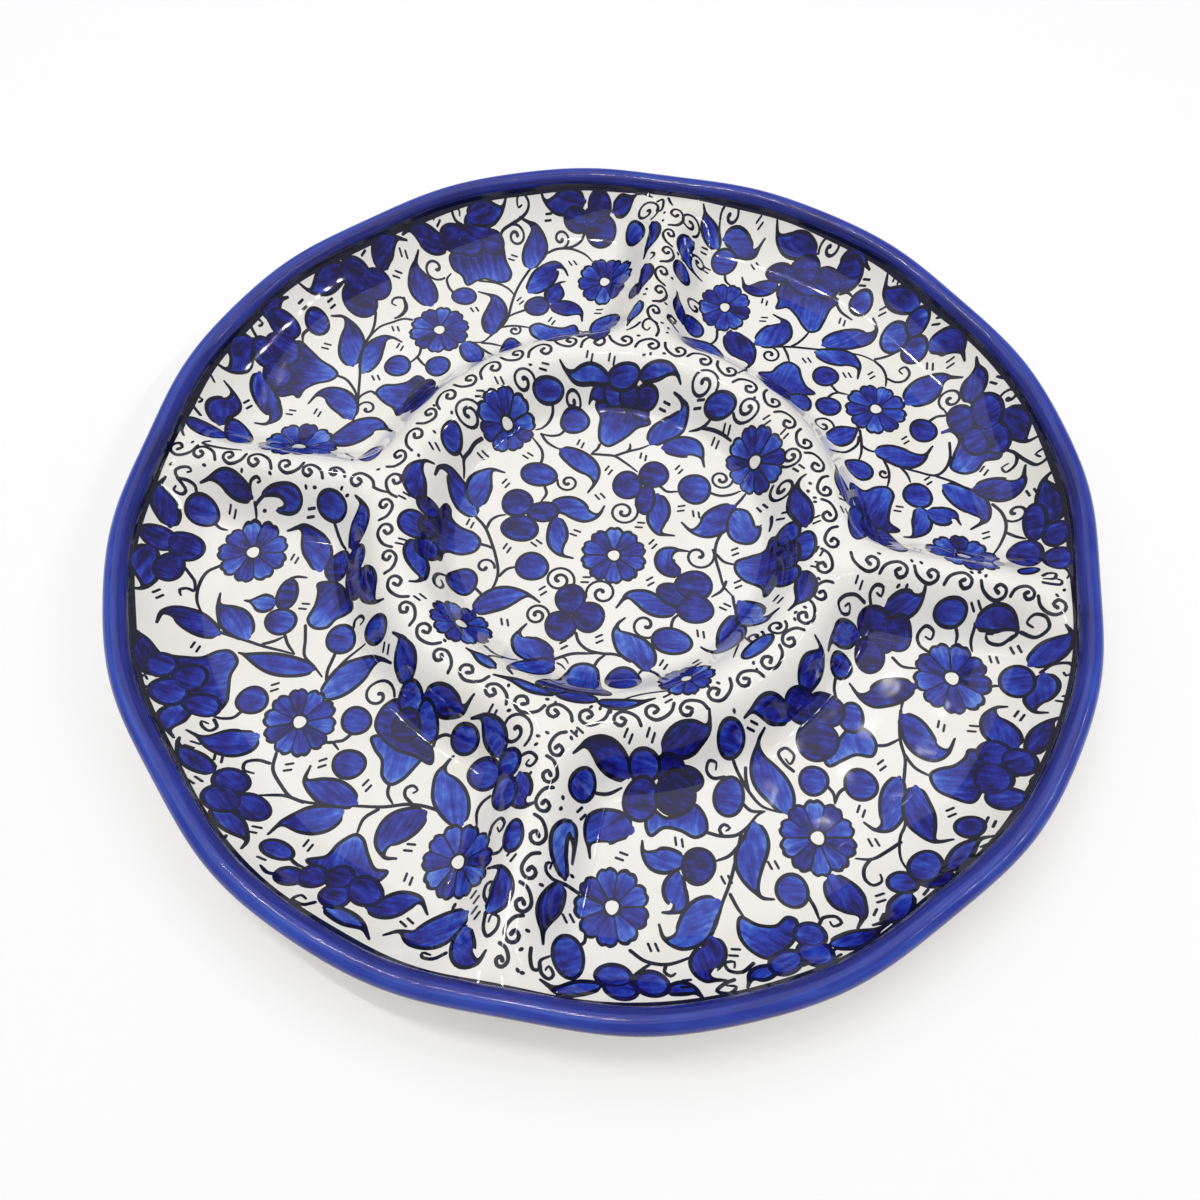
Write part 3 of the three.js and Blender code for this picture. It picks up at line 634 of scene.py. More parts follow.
def paint_north_east_flowers(p):
    for berry in (
        (25, 132.5, 4.8, 5), (9.5, 115.5, 3.2, 4.2), (79.5, 117.5, 4, 4.3), (69, 83, 4.6, 4.4), (71, 69, 4.3, 4),
        (105.8, 64, 4.8, 4.8), (83.5, 42.5, 5, 4, -20), (104.5, 35, 5, 4.8), (137, 2.5, 4.2, 1.5, 30),
    ):
        p.berry(*berry)
    p.leaf(6.8, (105, 30), (106.3, 25), (105.5, 21), (103, 17.5), (100.3, 17), tone=(0.7, 0.2))
    p.leaf(7.5, (108, 29), (112.5, 27.8), (117, 29), (119.5, 25.5), tone=(0.6, 0.3))
    p.leaf(7, (47, 126), (43.5, 123.5), (39, 121.7), (35, 122.5), (33, 127), tone=(0.3, 0.1))
    p.leaf(6, (69.5, 130.5), (73, 132), (77, 131), (80.5, 127.8), tone=(0.1, 0.4))
    p.blob(
        (48, 113.5), (52, 114.8), (56, 111), (59, 106), (61.5, 103.8), (64.5, 105), (66.5, 110), (68.5, 116),
        (71, 119), (66, 122), (58, 125), (50, 126.5), (47.5, 122), (48.5, 117.5),
        axis=((62, 124), (60, 106)), tone=(0.0, 0.8),
    )
    p.cluster((
        (47.5, 129.5, 5, 3.2), (73.3, 127.6, 4.6, 5), (56.5, 130, 5.5, 4.8), (65.5, 125.4, 5.6, 4.8, -30),
        (57, 124.8, 6, 2.8, -25),
    ), tone=(0.1, 0.3))
    p.leaf(7.5, (121.5, 75.5), (121.3, 80), (122, 85), (120.8, 90.5), tone=(0.2, 0.3))
    p.leaf(7.5, (131.3, 70), (134.5, 66), (136.5, 60), (138.5, 56.5), (141.6, 57), tone=(0.1, 0.2))
    p.blob(
        (112.3, 64), (115.5, 65), (118.5, 61.5), (117, 55), (116, 49), (120, 47.3), (124.5, 48.8), (127, 52.5),
        (131.5, 53), (130, 60), (124, 66), (117, 66.5), axis=((127, 62), (118, 50)), tone=(0.0, 0.7),
    )
    p.cluster((
        (118.6, 69.4, 4, 5.6, 20), (129.4, 61, 4, 6.5, 20), (126.3, 71, 4.2, 6.8, 20), (123.6, 60.5, 3.8, 5.4, 20),
    ), tone=(0.1, 0.35))
    p.blob(
        (81, 34), (86, 33.5), (90, 36), (94, 36.5), (96, 34), (95, 28), (95, 22), (98.5, 19.3), (93, 18),
        (86, 19), (82, 24), (80, 29), axis=((86, 22), (92, 36)), tone=(0.0, 0.8),
    )
    p.leaf(6, (80, 20), (77, 25), (74.5, 31), (73.5, 36), tone=(0.3, 0.5))
    p.berry(82.4, 13.5, 3.6, 9.6, -6, tone=(0.3, 0.5))
    p.berry(93.4, 10.4, 4.8, 8.6, 18, tone=(0.1, 0.4))
    p.berry(88, 14.5, 3.4, 7.6, 10, tone=(0.0, 0.2))
    p.blob(
        (44.5, 80), (49, 81.5), (51, 84.5), (54.5, 87.3), (58.5, 85.5), (60, 81), (62, 77), (65.5, 74),
        (62.5, 73), (58, 70), (52, 70), (47, 74), axis=((52, 71), (56, 87)), tone=(0.0, 0.85),
    )
    p.berry(60.2, 68.4, 4.4, 4.4, tone=(0.6, 0.3))
    p.berry(50.6, 68.4, 5.8, 6.4, tone=(0.0, 0.2))
    p.leaf(4.5, (13, 94), (10.8, 99), (9.2, 105), tone=(0.1, 0.3))
    p.berry(22, 83, 8, 8.6, tone=(0.3, 0.6))
    p.berry(17.2, 96.6, 4, 4, tone=(0.2, 0.6))
    p.cluster((
        (142, 26, 2.8, 6.6), (147.2, 19.6, 3, 4.4), (147, 9.3, 3.5, 4.4), (138.8, 12.8, 4.4, 6.4, -10),
    ), tone=(0.1, 0.35))
    p.rosette(28, 110.5, 12.3, 9, squash=0.82, lean=90)
    p.rosette(88.3, 70.8, 11.2, 9, turn=10)
    p.rosette(119, 9.6, 12.4, 10, squash=0.92)
    for x, y, angle in (
        (16.5, 134.5, 15), (18.5, 127.5, 0), (36.5, 145.5, 50), (37.5, 132, -50), (43, 116, 85), (43.5, 107, 5),
        (61.5, 89.5, -55), (73.5, 110.5, 80), (79.5, 124.2, -15), (77, 85, -60), (99.5, 58.5, 45), (108, 42, 45),
        (98, 28.3, 0), (128, 81, -35), (141, 37.5, -65), (128, 22.5, 25), (127, 48.5, 60), (86, 86.5, 45),
        (103, 8, 75), (77, 15, -60), (76, 20.5, 20),
    ):
        p.tick(x, y, angle)


def paint_north_west_stems(p):
    p.line((-13, 150), (-10.5, 150.2), (-7, 149))
    p.line((-32, 136), (-33, 133), (-36, 130.3), (-40, 129))
    p.line((-46, 125), (-42, 128), (-36, 129.3), (-30, 127.8), (-27, 125.3))
    p.line(
        (-50.5, 117), (-52, 112), (-53.5, 105), (-54, 98), (-54, 90), (-55.5, 85), (-58.5, 80), (-61, 76.5),
        (-67, 75.5),
    )
    p.line((-64.5, 126.5), (-64, 129), (-61, 132), (-58, 134.5), (-55.5, 137.5), (-55.3, 140), (-57.5, 141.5),
           (-59.8, 140), (-59, 137.5), (-57.8, 138.5))
    p.line((-78.5, 125.5), (-82, 126), (-83.5, 128.5), (-81, 129.3), (-80.5, 127.8))
    p.line((-77, 98.5), (-80, 101.5), (-81.5, 105), (-80.5, 107.5))
    p.line((-69, 107), (-62, 107), (-57, 105), (-53.8, 102))
    p.line((-48.5, 95), (-52, 92.5), (-54, 90.5))
    p.line((-55.5, 85), (-51, 86.5), (-45, 86.8))
    p.line((-28, 90.8), (-26.8, 88.5), (-24.5, 88))
    p.line((-61, 76), (-57.5, 76.2), (-53.5, 75.8))
    p.line((-64, 74.5), (-60, 73), (-56, 70), (-53.5, 66), (-52, 62))
    p.line((-83, 69), (-83, 66), (-84.5, 63), (-85.5, 61.5))
    p.line((-83.5, 65), (-81, 62.5), (-79, 61))
    p.line((-90, 82.5), (-93, 82.5), (-97, 80), (-101, 77), (-103, 73), (-104, 69))
    p.line((-95.5, 92), (-94, 88), (-94.5, 85), (-96.5, 82))
    p.line((-104.3, 83), (-103.5, 78), (-103.5, 73), (-104.3, 69), (-104.5, 64), (-103.5, 58), (-102, 52),
           (-100.5, 45), (-99, 38), (-99, 31), (-99.5, 27.5), (-103.5, 21.5))
    p.line((-125.5, 66.5), (-126.5, 64), (-126, 61.5))
    p.line((-139.5, 54.5), (-141.5, 57), (-140.5, 60.3), (-138.5, 60), (-139.3, 58.3))
    p.line((-110.8, 51), (-107, 50), (-103.5, 47), (-101, 43.5), (-100, 40))
    p.line((-94, 45), (-96, 46), (-99, 43.5), (-100, 40))
    p.line((-96, 15.5), (-92, 12), (-89, 6))
    p.line((-149.5, 10), (-149, 7), (-147.5, 5))
    p.line((-147, 16.5), (-150, 19), (-150, 22), (-148, 22.5), (-148.5, 20.8))
    for sx, sy, cx, cy, turns in (
        (-5.8, 138.5, -8.2, 143, 1.3), (-39, 129.5, -41, 132.3, 1.1), (-61.5, 131.5, -58.6, 128.8, -1.3),
        (-48.8, 86.4, -50, 84.3, -1), (-98.5, 36, -95.3, 38, -1.0),
    ):
        p.curl(sx, sy, cx, cy, turns)


def paint_north_west_leaves(p):
    p.leaf(9, (-50.5, 117), (-50.8, 122), (-50, 128), (-52, 133.5), (-58, 135), tone=(0.75, 0.0))
    p.leaf(7.5, (-77.5, 128), (-73.5, 131), (-68.5, 133), (-65, 135.5), (-64, 139), tone=(0.1, 0.3))
    p.leaf(8.5, (-58.5, 80.8), (-59.5, 87), (-59, 93), (-61.5, 99.5), (-68, 101.3), tone=(0.5, 0.1))
    p.leaf(
        10, (-48.5, 104.5), (-45.5, 110), (-43.5, 116), (-41, 120.5), (-37.5, 119.5), (-35.2, 116), tone=(0.7, 0.1)
    )
    p.leaf(8, (-68, 75), (-64, 71), (-60, 66), (-57, 62), tone=(0.7, 0.2))
    p.leaf(9.5, (-106, 56.5), (-108.5, 62), (-109.5, 68), (-112, 74.5), (-115, 77), (-119, 75.5), tone=(0.7, 0.1))
    p.leaf(8, (-101.3, 54), (-100.5, 60), (-100.5, 66), (-98, 71.5), (-95, 72.5), (-91, 71), tone=(0.7, 0.2))
    p.leaf(
        9.5, (-100, 32.5), (-102.5, 37), (-106.5, 40.5), (-111.5, 42.3), (-115, 41), (-117, 36.5), tone=(0.7, 0.2)
    )
    p.leaf(9.5, (-104, 21.2), (-99, 24.5), (-94.5, 29), (-90.5, 31.5), (-86.5, 30.5), (-82, 26.5), tone=(0.2, 0.7))


def paint_north_west_flowers(p):
    for berry in (
        (-11.5, 135.5, 3, 6, 25), (-73, 98, 4.5, 4.2), (-48.6, 71.5, 4, 9, 12), (-74.7, 62, 4.2, 4.6),
        (-89.5, 59.5, 4.7, 4.6), (-123, 71, 3.8, 4.7), (-85.5, 13.5, 4, 7.5, 15),
    ):
        p.berry(*berry)
    p.leaf(7, (-33.5, 145.5), (-39, 144.5), (-45, 142), (-49, 142), (-51.5, 144.5), tone=(0.1, 0.3))
    p.leaf(6, (-22, 144.5), (-18, 146.5), (-15, 148.5), (-13, 150), tone=(0.1, 0.3))
    p.cluster((
        (-35.5, 139.5, 5, 3.6), (-27.5, 145, 4.2, 4), (-25.5, 137.5, 5.5, 5.2), (-30.3, 141.6, 2.4, 2.4),
    ), tone=(0.0, 0.2))
    p.berry(-44, 98, 4.5, 4.7, tone=(0.1, 0.3))
    p.leaf(7.5, (-39, 99), (-33.5, 99), (-29, 98.5), (-26.5, 97), (-25.5, 93.5), tone=(0.1, 0.5))
    p.leaf(7.4, (-38.5, 100.5), (-38.7, 104.5), (-38.3, 109), (-37.8, 111.5), (-35.8, 112.6), tone=(0.4, 0.2))
    p.blob(
        (-44.5, 87), (-42, 89.3), (-37, 88.5), (-32, 88.7), (-28, 90.8), (-26, 87.5), (-25, 80), (-26, 72),
        (-33, 68.5), (-37, 74), (-39.5, 80), (-43.5, 84), axis=((-28, 74), (-42, 87)), tone=(0.2, 0.75),
    )
    p.berry(-17, 78.5, 4.2, 7.4, 5, tone=(0.1, 0.4))
    p.berry(-22.6, 80, 3.2, 8.2, tone=(0.0, 0.1))
    p.berry(-16.3, 90.5, 5.3, 6, tone=(0.7, 0.3))
    p.blob(
        (-94, 46), (-92, 49.5), (-88, 50.5), (-84, 52.5), (-81, 56), (-78, 54.5), (-77.5, 48), (-80, 40),
        (-83, 36.5), (-86, 40), (-90, 42), axis=((-80, 47), (-93, 47)), tone=(0.1, 0.8),
    )
    p.berry(-72.4, 41, 3.8, 9, -20, tone=(0.3, 0.4))
    p.berry(-77.5, 46, 4.2, 9, -15, tone=(0.0, 0.1))
    p.leaf(5, (-137, 62), (-137.5, 66), (-136, 70), (-133, 73.5), tone=(0.1, 0.2))
    p.leaf(7, (-140, 53), (-142.5, 48), (-142, 42), (-144.5, 37.8), (-148.5, 37.5), tone=(0.1, 0.2))
    p.leaf(8, (-136, 43), (-134, 37.5), (-130, 32.5), (-127, 28.5), (-129, 24.5), (-132.5, 23.5), tone=(0.5, 0.1))
    p.blob(
        (-127, 61), (-123, 59.5), (-118, 56.5), (-113.5, 54.5), (-110.5, 51.5), (-112, 48.5), (-117, 46),
        (-120.5, 42.5), (-121.5, 38.5), (-123.5, 39.5), (-128, 37.5), (-131, 42), (-130, 52),
        axis=((-126, 50), (-112, 51)), tone=(0.0, 0.8),
    )
    p.cluster((
        (-132.5, 64, 4.5, 4.2), (-136, 51, 3.6, 4.8), (-131, 55.4, 5, 5.4), (-130.6, 45.4, 4.2, 5.2),
    ), tone=(0.1, 0.3))
    p.leaf(7, (-141.5, 16.5), (-143.4, 22), (-140.5, 27), (-141.5, 31), (-144.5, 33.3), tone=(0.2, 0.3))
    p.berry(-134.4, 14.6, 3.8, 8, 32, tone=(0.2, 0.6))
    p.berry(-142.6, 11, 6.6, 3.4, -12, tone=(0.2, 0.5))
    p.rosette(-20.3, 115.3, 12.2, 9, squash=0.86, lean=95)
    p.rosette(-78.4, 79.5, 11.3, 10, turn=5)
    p.rosette(-113.5, 15.5, 13, 10, squash=0.94)
    for x, y, angle in (
        (-20, 99.5, 8), (-47, 138, 20), (-58.3, 120.6, -5), (-34.5, 123, -50), (-51, 99.5, 60), (-67.5, 92, -50),
        (-37, 91.5, 70), (-128.5, 74, 65), (-118, 63.2, 5), (-95, 77, -60), (-91, 68.5, 80), (-96, 52.5, -55),
        (-122, 31.5, 0), (-112.5, 33, 80), (-136.5, 29.5, 60), (-148.5, 31.5, -50),
    ):
        p.tick(x, y, angle)


def paint_far_corners(p):
    p.line((-96.5, 82.2), (-94.5, 83.8), (-93.4, 88), (-96, 91.8), (-99, 90.6), (-99.3, 88.4), (-97.6, 88))
    p.line((87, 94.5), (90, 95.5), (94.5, 97.5))
    p.curl(-82.5, 105, -86.5, 107.6, -1)
    p.leaf(7, (-105, 98.5), (-105.8, 103), (-104.5, 107.5), (-101.5, 110.7), (-98, 112), tone=(0.0, 0.2))
    p.leaf(7, (-117, 93.5), (-121, 88.5), (-124, 83), (-127, 79.8), (-131, 80), tone=(0.0, 0.2))
    p.leaf(8, (-83.5, 116.8), (-89, 116), (-94, 116.5), (-97.5, 115.5), (-99.6, 112.8), tone=(0.0, 0.2))
    p.leaf(10, (-84.5, 91), (-87.5, 95.5), (-91, 100), (-93.8, 105.5), (-93.6, 111), tone=(0.4, 0.1))
    p.cluster(((-110.5, 85.5, 5.8, 6), (-113.3, 92.8, 4.8, 5), (-105.8, 93.3, 4.5, 5)), tone=(0.0, 0.15))
    p.blob(
        (-64, 125), (-61, 119), (-57.5, 113), (-58, 109), (-62, 107.5), (-67, 108.5), (-70, 107), (-73, 104),
        (-76, 108), (-80, 110), (-82, 114), (-78, 119), (-70, 123), axis=((-72, 121), (-66, 108)), tone=(0.0, 0.6),
    )
    p.cluster((
        (-80.5, 120.5, 6, 4.2, 15), (-67, 124, 4, 4), (-73.5, 127, 4.6, 3.4), (-75, 120.6, 4.6, 3.4, 20),
    ), tone=(0.0, 0.25))
    p.leaf(7.5, (99.5, 111.5), (94.5, 115), (90, 118), (87.4, 120.5), (87, 125), tone=(0.4, 0.1))
    p.leaf(8.5, (104.8, 97.8), (109.5, 98.5), (113.5, 97), (116, 94), (117.4, 90.5), tone=(0.5, 0.0))
    p.berry(93, 103, 4.8, 5.6, tone=(0.7, 0.4))
    p.berry(100, 107, 3.6, 4.6, tone=(0.1, 0.5))
    p.berry(100.5, 97.6, 4.2, 4.8, tone=(0.2, 0.5))
    for x, y, angle in (
        (-88.5, 123, 70), (-98.5, 107.5, -60), (-99.5, 99.8, 5), (-112.5, 101.3, 65), (-119.8, 79.8, 60),
        (87.6, 113.5, 20), (106.7, 105.5, -10), (106.5, 91, -85), (113, 91, 30), (90.5, 122.8, 75),
    ):
        p.tick(x, y, angle)


def paint_south_west_stems(p):
    p.line((-132.5, -19.5), (-130, -20.8), (-127.8, -20.8))
    p.line((-121, -9.3), (-120.6, -7), (-118.5, -5.8), (-117.4, -6.8), (-118.4, -7.2))
    p.line((-119.3, -12), (-118.8, -14), (-118.6, -16))
    p.line((-91.5, -13.5), (-89.5, -17), (-87, -20.5), (-85, -22.5))
    p.line((-138.8, -13), (-139.5, -11), (-142, -10.2), (-145, -10.3), (-146, -8.5), (-144.5, -7), (-142, -6.5),
           (-141, -7.3), (-142.3, -8))
    p.line((-145, -10.5), (-143, -12), (-142, -13.2), (-143, -14.7), (-145.3, -14.5), (-145, -13))
    p.line((-135, -39), (-132.5, -41), (-130.5, -43), (-129.5, -46))
    p.line((-129.8, -46.3), (-131.6, -46.1), (-133.2, -47.6), (-132.2, -49.4))
    p.line((-125.5, -34.5), (-128.5, -38), (-129, -44), (-127.5, -49.5), (-124.5, -53.5))
    p.line((-118.5, -58), (-108, -59.5), (-102, -60.5), (-96, -61), (-91.5, -61.5))
    p.line((-101, -35), (-99, -34), (-95.8, -33.8))
    p.line((-96.5, -55.5), (-94.5, -58.5), (-91.5, -61.3))
    p.line((-91, -51), (-89.5, -56), (-88, -61.5), (-84, -64.5), (-80.5, -67.5))
    p.line((-102.5, -59.8), (-99, -58), (-96.8, -56.2))
    p.line((-78.6, -58.7), (-79, -62), (-79.3, -65.5), (-78.3, -69), (-76, -63), (-72.5, -57.5), (-69.5, -55))
    p.line((-75, -49.5), (-75, -47.5), (-73, -46.5), (-71.3, -47.8), (-72.5, -49))
    p.line((-40.2, -84), (-39.8, -81.8), (-37, -80.5), (-34.5, -81))
    p.line((-12.5, -88.5), (-12, -86.8), (-9, -85.6), (-6.5, -87.5), (-8, -89.8), (-9.5, -89), (-8.8, -87.8))
    p.line((-19.3, -97.3), (-21.3, -99), (-22.3, -102), (-21.3, -106.5))
    p.line((-42.3, -102.6), (-44.8, -100.6), (-45, -98.4), (-43, -97.2), (-41.5, -98.4), (-42.6, -99.4))
    p.line((-26.8, -107.5), (-31, -104.5), (-36, -103), (-43, -103), (-50, -105), (-57, -106), (-66, -107))
    p.line((-50.3, -97.8), (-50, -101), (-47.8, -103.6))
    p.line((-51.5, -106), (-55, -109.5), (-55.8, -114.5))
    p.line((-72, -131.5), (-74, -131.6), (-76.5, -130))
    p.line((-59, -137), (-61.5, -138.5), (-64.5, -137.5), (-63, -135.8), (-61.5, -136.6))
    p.line((-71, -125.5), (-68.5, -127), (-66, -127.5))
    p.line((-22.3, -129.5), (-22.6, -131), (-21.6, -132.4))
    p.line((-20.5, -143.8), (-23.5, -146), (-26.5, -146), (-26.8, -144.8), (-24.5, -145))
    p.line((-11.5, -130), (-13.8, -127), (-13.5, -124), (-12, -123.5), (-12.3, -126))
    p.line((-12, -132), (-11.5, -136.5), (-10, -138.3), (-7.8, -136), (-8, -133), (-10, -132.5), (-10.5, -134.5))
    p.line((-16.5, -110), (-16, -106.5), (-14, -104.8), (-12.3, -106.5), (-13.3, -109), (-14.3, -107.6))
    p.line((-15, -115.5), (-12, -115), (-11, -113))
    p.line((-70.5, -88), (-73, -88.4), (-75, -87.5))
    p.line((-66, -84.5), (-68, -87), (-70.5, -88), (-68.5, -90))
    p.line((-87.5, -98), (-91, -97.8), (-94, -99.5), (-93.5, -102), (-90.5, -102.3))
    p.line((-86.7, -94.5), (-86, -99.5), (-82, -104), (-78, -107), (-73.5, -107.6), (-66, -107))
    p.line((-74, -107.8), (-80, -107), (-86.5, -108.7))
    p.curl(-55.8, -70.5, -61.3, -70.7, 1.2)
    p.curl(-11, -83.5, -14.8, -79.4, 1.4)


def paint_south_west_leaves(p):
    p.leaf(6, (-120.3, -10.8), (-125, -9.2), (-130, -7.3), (-134, -7.8), (-137.8, -9.8), tone=(0.1, 0.4))
    p.line((-119, -12.4), (-117, -10.6), (-114.8, -9.2))
    p.blob(
        (-116.5, -9.8), (-114, -7.8), (-110.5, -6.6), (-106.5, -6.4), (-103.9, -7.6), (-102.9, -9.8), (-104, -12),
        (-106.5, -13.2), (-109.5, -13.3), (-111.5, -12.9), (-109.2, -12.1), (-108.7, -10.9), (-110.2, -9.7),
        (-113, -9.5), axis=((-112, -8), (-104, -11)), tone=(0.1, 0.5),
    )
    p.leaf(7, (-143, -27), (-145, -22.5), (-147.8, -18), (-149, -15), (-148.2, -11.5), tone=(0.0, 0.4))
    p.leaf(7, (-144.5, -36.5), (-144, -43), (-141.5, -48.5), (-141, -52.5), (-143.5, -54.5), tone=(0.2, 0.4))
    p.leaf(9.5, (-107.8, -58.5), (-112, -54.5), (-117, -51.5), (-121, -48.5), (-122, -44.5), tone=(0.8, 0.0))
    p.leaf(
        8, (-117.3, -59), (-122, -58), (-127, -56.5), (-131.5, -56), (-134, -57.8), (-133.8, -62), tone=(0.5, 0.0)
    )
    p.leaf(9.5, (-92.3, -30.5), (-94.5, -24.5), (-98.5, -19.5), (-102.5, -16.3), (-107.3, -17.8), tone=(0.5, 0.1))
    p.leaf(9.5, (-78.5, -74), (-75, -70), (-71.5, -65), (-67, -61), (-63, -60), (-58.5, -61.6), tone=(0.8, 0.2))
    p.leaf(7.5, (-52, -67.5), (-53, -62.5), (-54.8, -58), (-56, -55.5), (-59, -53.8), tone=(0.1, 0.5))
    p.leaf(7, (-18.5, -85.5), (-20, -82), (-22.5, -78.5), (-25.5, -76.3), (-29, -76.6), tone=(0.3, 0.5))
    p.leaf(10.5, (-26.5, -106.5), (-29.5, -101.5), (-33, -96.5), (-35.5, -92), (-34.8, -88.5), (-33.3, -86),
           tone=(0.5, 0.7))
    p.leaf(9.5, (-37.5, -104.5), (-41, -107.5), (-45.5, -111.5), (-47.5, -116), (-46, -119.5), (-42.5, -119.3),
           tone=(0.2, 0.5))
    p.leaf(8.5, (-58.5, -105.3), (-64, -103.8), (-70, -103), (-75.5, -101), (-75.3, -96.5), tone=(0.5, 0.2))
    p.leaf(9, (-61.8, -108.5), (-66.5, -111.5), (-72, -113.5), (-77.5, -115.8), (-79.3, -120), tone=(0.7, 0.1))
    p.leaf(9, (-17.8, -131.8), (-21.5, -135), (-26, -139), (-31, -141), (-35, -140), (-38.5, -142), tone=(0.6, 0.2))
    p.leaf(7, (-17, -136), (-16.5, -140.5), (-15, -144.5), (-11, -145), (-9.5, -142), tone=(0.6, 0.3))
    p.leaf(6.4, (-11.5, -132), (-9, -128), (-9, -123), (-10.8, -119.5), (-14.5, -119.5), tone=(0.5, 0.1))
    p.leaf(7, (-45.8, -135), (-41, -134), (-36.5, -131), (-32.5, -130), (-29.3, -133.5), tone=(0.1, 0.5))
    p.leaf(4, (-56, -137.8), (-50, -139.3), (-44.5, -141), (-41.5, -144), tone=(0.6, 0.3))


def paint_south_west_flowers(p):
    for berry in (
        (-136.5, -17.3, 4.8, 4.8), (-92.2, -10, 5, 3.6, -10), (-78.2, -53.8, 4.6, 4.9), (-65.8, -51.8, 4, 3.8),
        (-30.5, -81.5, 4.2, 3.8, -10), (-75, -124, 4.5, 2.7, -15), (-8.7, -110.5, 2.7, 4.5), (-99.5, -79, 4.6, 4.5),
        (-65.7, -80, 4.5, 4.3), (-64, -94, 5, 4.3),
    ):
        p.berry(*berry)
    p.cluster(((-138.3, -41, 3.2, 5.3), (-144, -32.5, 4, 4), (-137, -31.5, 4.6, 5)), tone=(0.0, 0.3))
    p.leaf(6.5, (-103, -44.5), (-107, -45.5), (-110, -45.5), (-113.3, -45.6), tone=(0.5, 0.7))
    p.berry(-99.3, -51, 4.8, 4.6, tone=(0.3, 0.6))
    p.berry(-100.3, -41, 3.2, 5.6, 5, tone=(0.0, 0.2))
    p.leaf(7.5, (-81.8, -23.5), (-81, -18), (-80.5, -13), (-81.5, -9.5), (-84, -7.5), tone=(0.2, 0.5))
    p.leaf(7, (-76.5, -32.5), (-73, -36), (-70.5, -41), (-67.5, -44), (-64.5, -43.8), tone=(0.1, 0.2))
    p.blob(
        (-91.5, -35.5), (-86.5, -34), (-82, -36.5), (-77, -43.5), (-79, -45), (-82, -47), (-84, -50.5),
        (-88, -51.3), (-90.8, -49), (-90, -43), (-90.5, -38), axis=((-82, -38), (-88, -50)), tone=(0.0, 0.8),
    )
    p.cluster(((-78, -35, 3, 6, 25), (-79.5, -28, 3.5, 4.3), (-86.5, -28.3, 3.8, 5.2)), tone=(0.0, 0.3))
    p.leaf(7.5, (-45.5, -71), (-41, -71.5), (-36, -73.5), (-32, -74.5), (-29, -70.8), tone=(0.3, 0.2))
    p.blob(
        (-59.5, -84.5), (-56, -83.5), (-50, -86.5), (-43, -88), (-44.5, -92), (-47, -96), (-50, -98), (-53, -96),
        (-54.5, -91), (-57.5, -88), axis=((-50, -84), (-50, -97)), tone=(0.4, 0.95),
    )
    p.blob(
        (-59.5, -80), (-58.5, -74), (-55.5, -71.5), (-51, -73), (-47, -76), (-44, -82), (-40.5, -85),
        (-39.5, -89.5), (-45, -88), (-51, -87), (-57, -83.5), tone=(0.3, 0.1),
    )
    p.berry(-50, -71.5, 4, 4.8, 30, tone=(0.3, 0.6))
    p.berry(-43.3, -77.5, 3.2, 6, 20, tone=(0.3, 0.6))
    p.berry(-50, -79, 4.2, 5.2, 10, tone=(0.0, 0.2))
    p.leaf(6.5, (-11, -91.5), (-9.5, -96), (-9, -100.3), (-7, -101.6), (-4, -100.2), tone=(0.4, 0.1))
    p.cluster(((-14.5, -97, 3.6, 5, 10), (-22.5, -90.5, 4.8, 4.6), (-15, -88, 3.2, 3.8)), tone=(0.3, 0.6))
    p.blob(
        (-56, -114.5), (-53.5, -115.5), (-51, -119.5), (-47.5, -123.5), (-44, -123.5), (-46, -127), (-50, -127.5),
        (-56, -126), (-61, -127), (-66.5, -125), (-62, -122.5), (-60, -118), axis=((-56, -127), (-56, -115)),
        tone=(0.1, 0.85),
    )
    p.cluster((
        (-68.5, -131, 3.4, 2.6), (-63, -129.5, 3.5, 3.2), (-48, -130.5, 4.8, 4, -20), (-55, -133.8, 3.6, 3.4),
        (-56, -128, 3.5, 3.4),
    ), tone=(0.1, 0.3))
    p.rosette(-116.5, -27.5, 11.6, 9, turn=10)
    p.rosette(-82.8, -83.4, 11.2, 10, turn=20)
    p.rosette(-24.5, -117.3, 11.2, 10, turn=12, squash=0.93, lean=85)
    for x, y, angle in (
        (-127, -15, 80), (-99.5, -12.3, 12), (-137.3, -52, 65), (-122, -65.5, 85), (-123.5, -89, -25),
        (-81.7, -98, 20), (-72, -95, 30), (-56.8, -99.5, 60), (-68, -120.5, 75), (-39.5, -115.5, 5),
        (-37.5, -124.5, 85), (-34, -137, -30), (-83, -119.7, 5), (-76.8, -127, -10), (-8, -116, 60),
        (-16.5, -127.5, 60), (-15, -132, 60), (-102, -27.5, 80), (-93.5, -44.3, 5), (-94, -73.5, 30),
        (-61, -57.5, 85), (-22.5, -74.8, 65),
    ):
        p.tick(x, y, angle)
    for x, y in (
        (-147.8, -6.8), (-137, -5), (-124, -4.8), (-114.2, -4.4), (-101.5, -6.5), (-98.5, -6.3), (-89.2, -5.6),
        (-87, -7.4), (-115.8, -13.5), (-17.6, -74.2), (-7.5, -80.7), (-7.6, -83.2), (-7.6, -92), (-88, -124.3),
    ):
        p.dot(x, y)


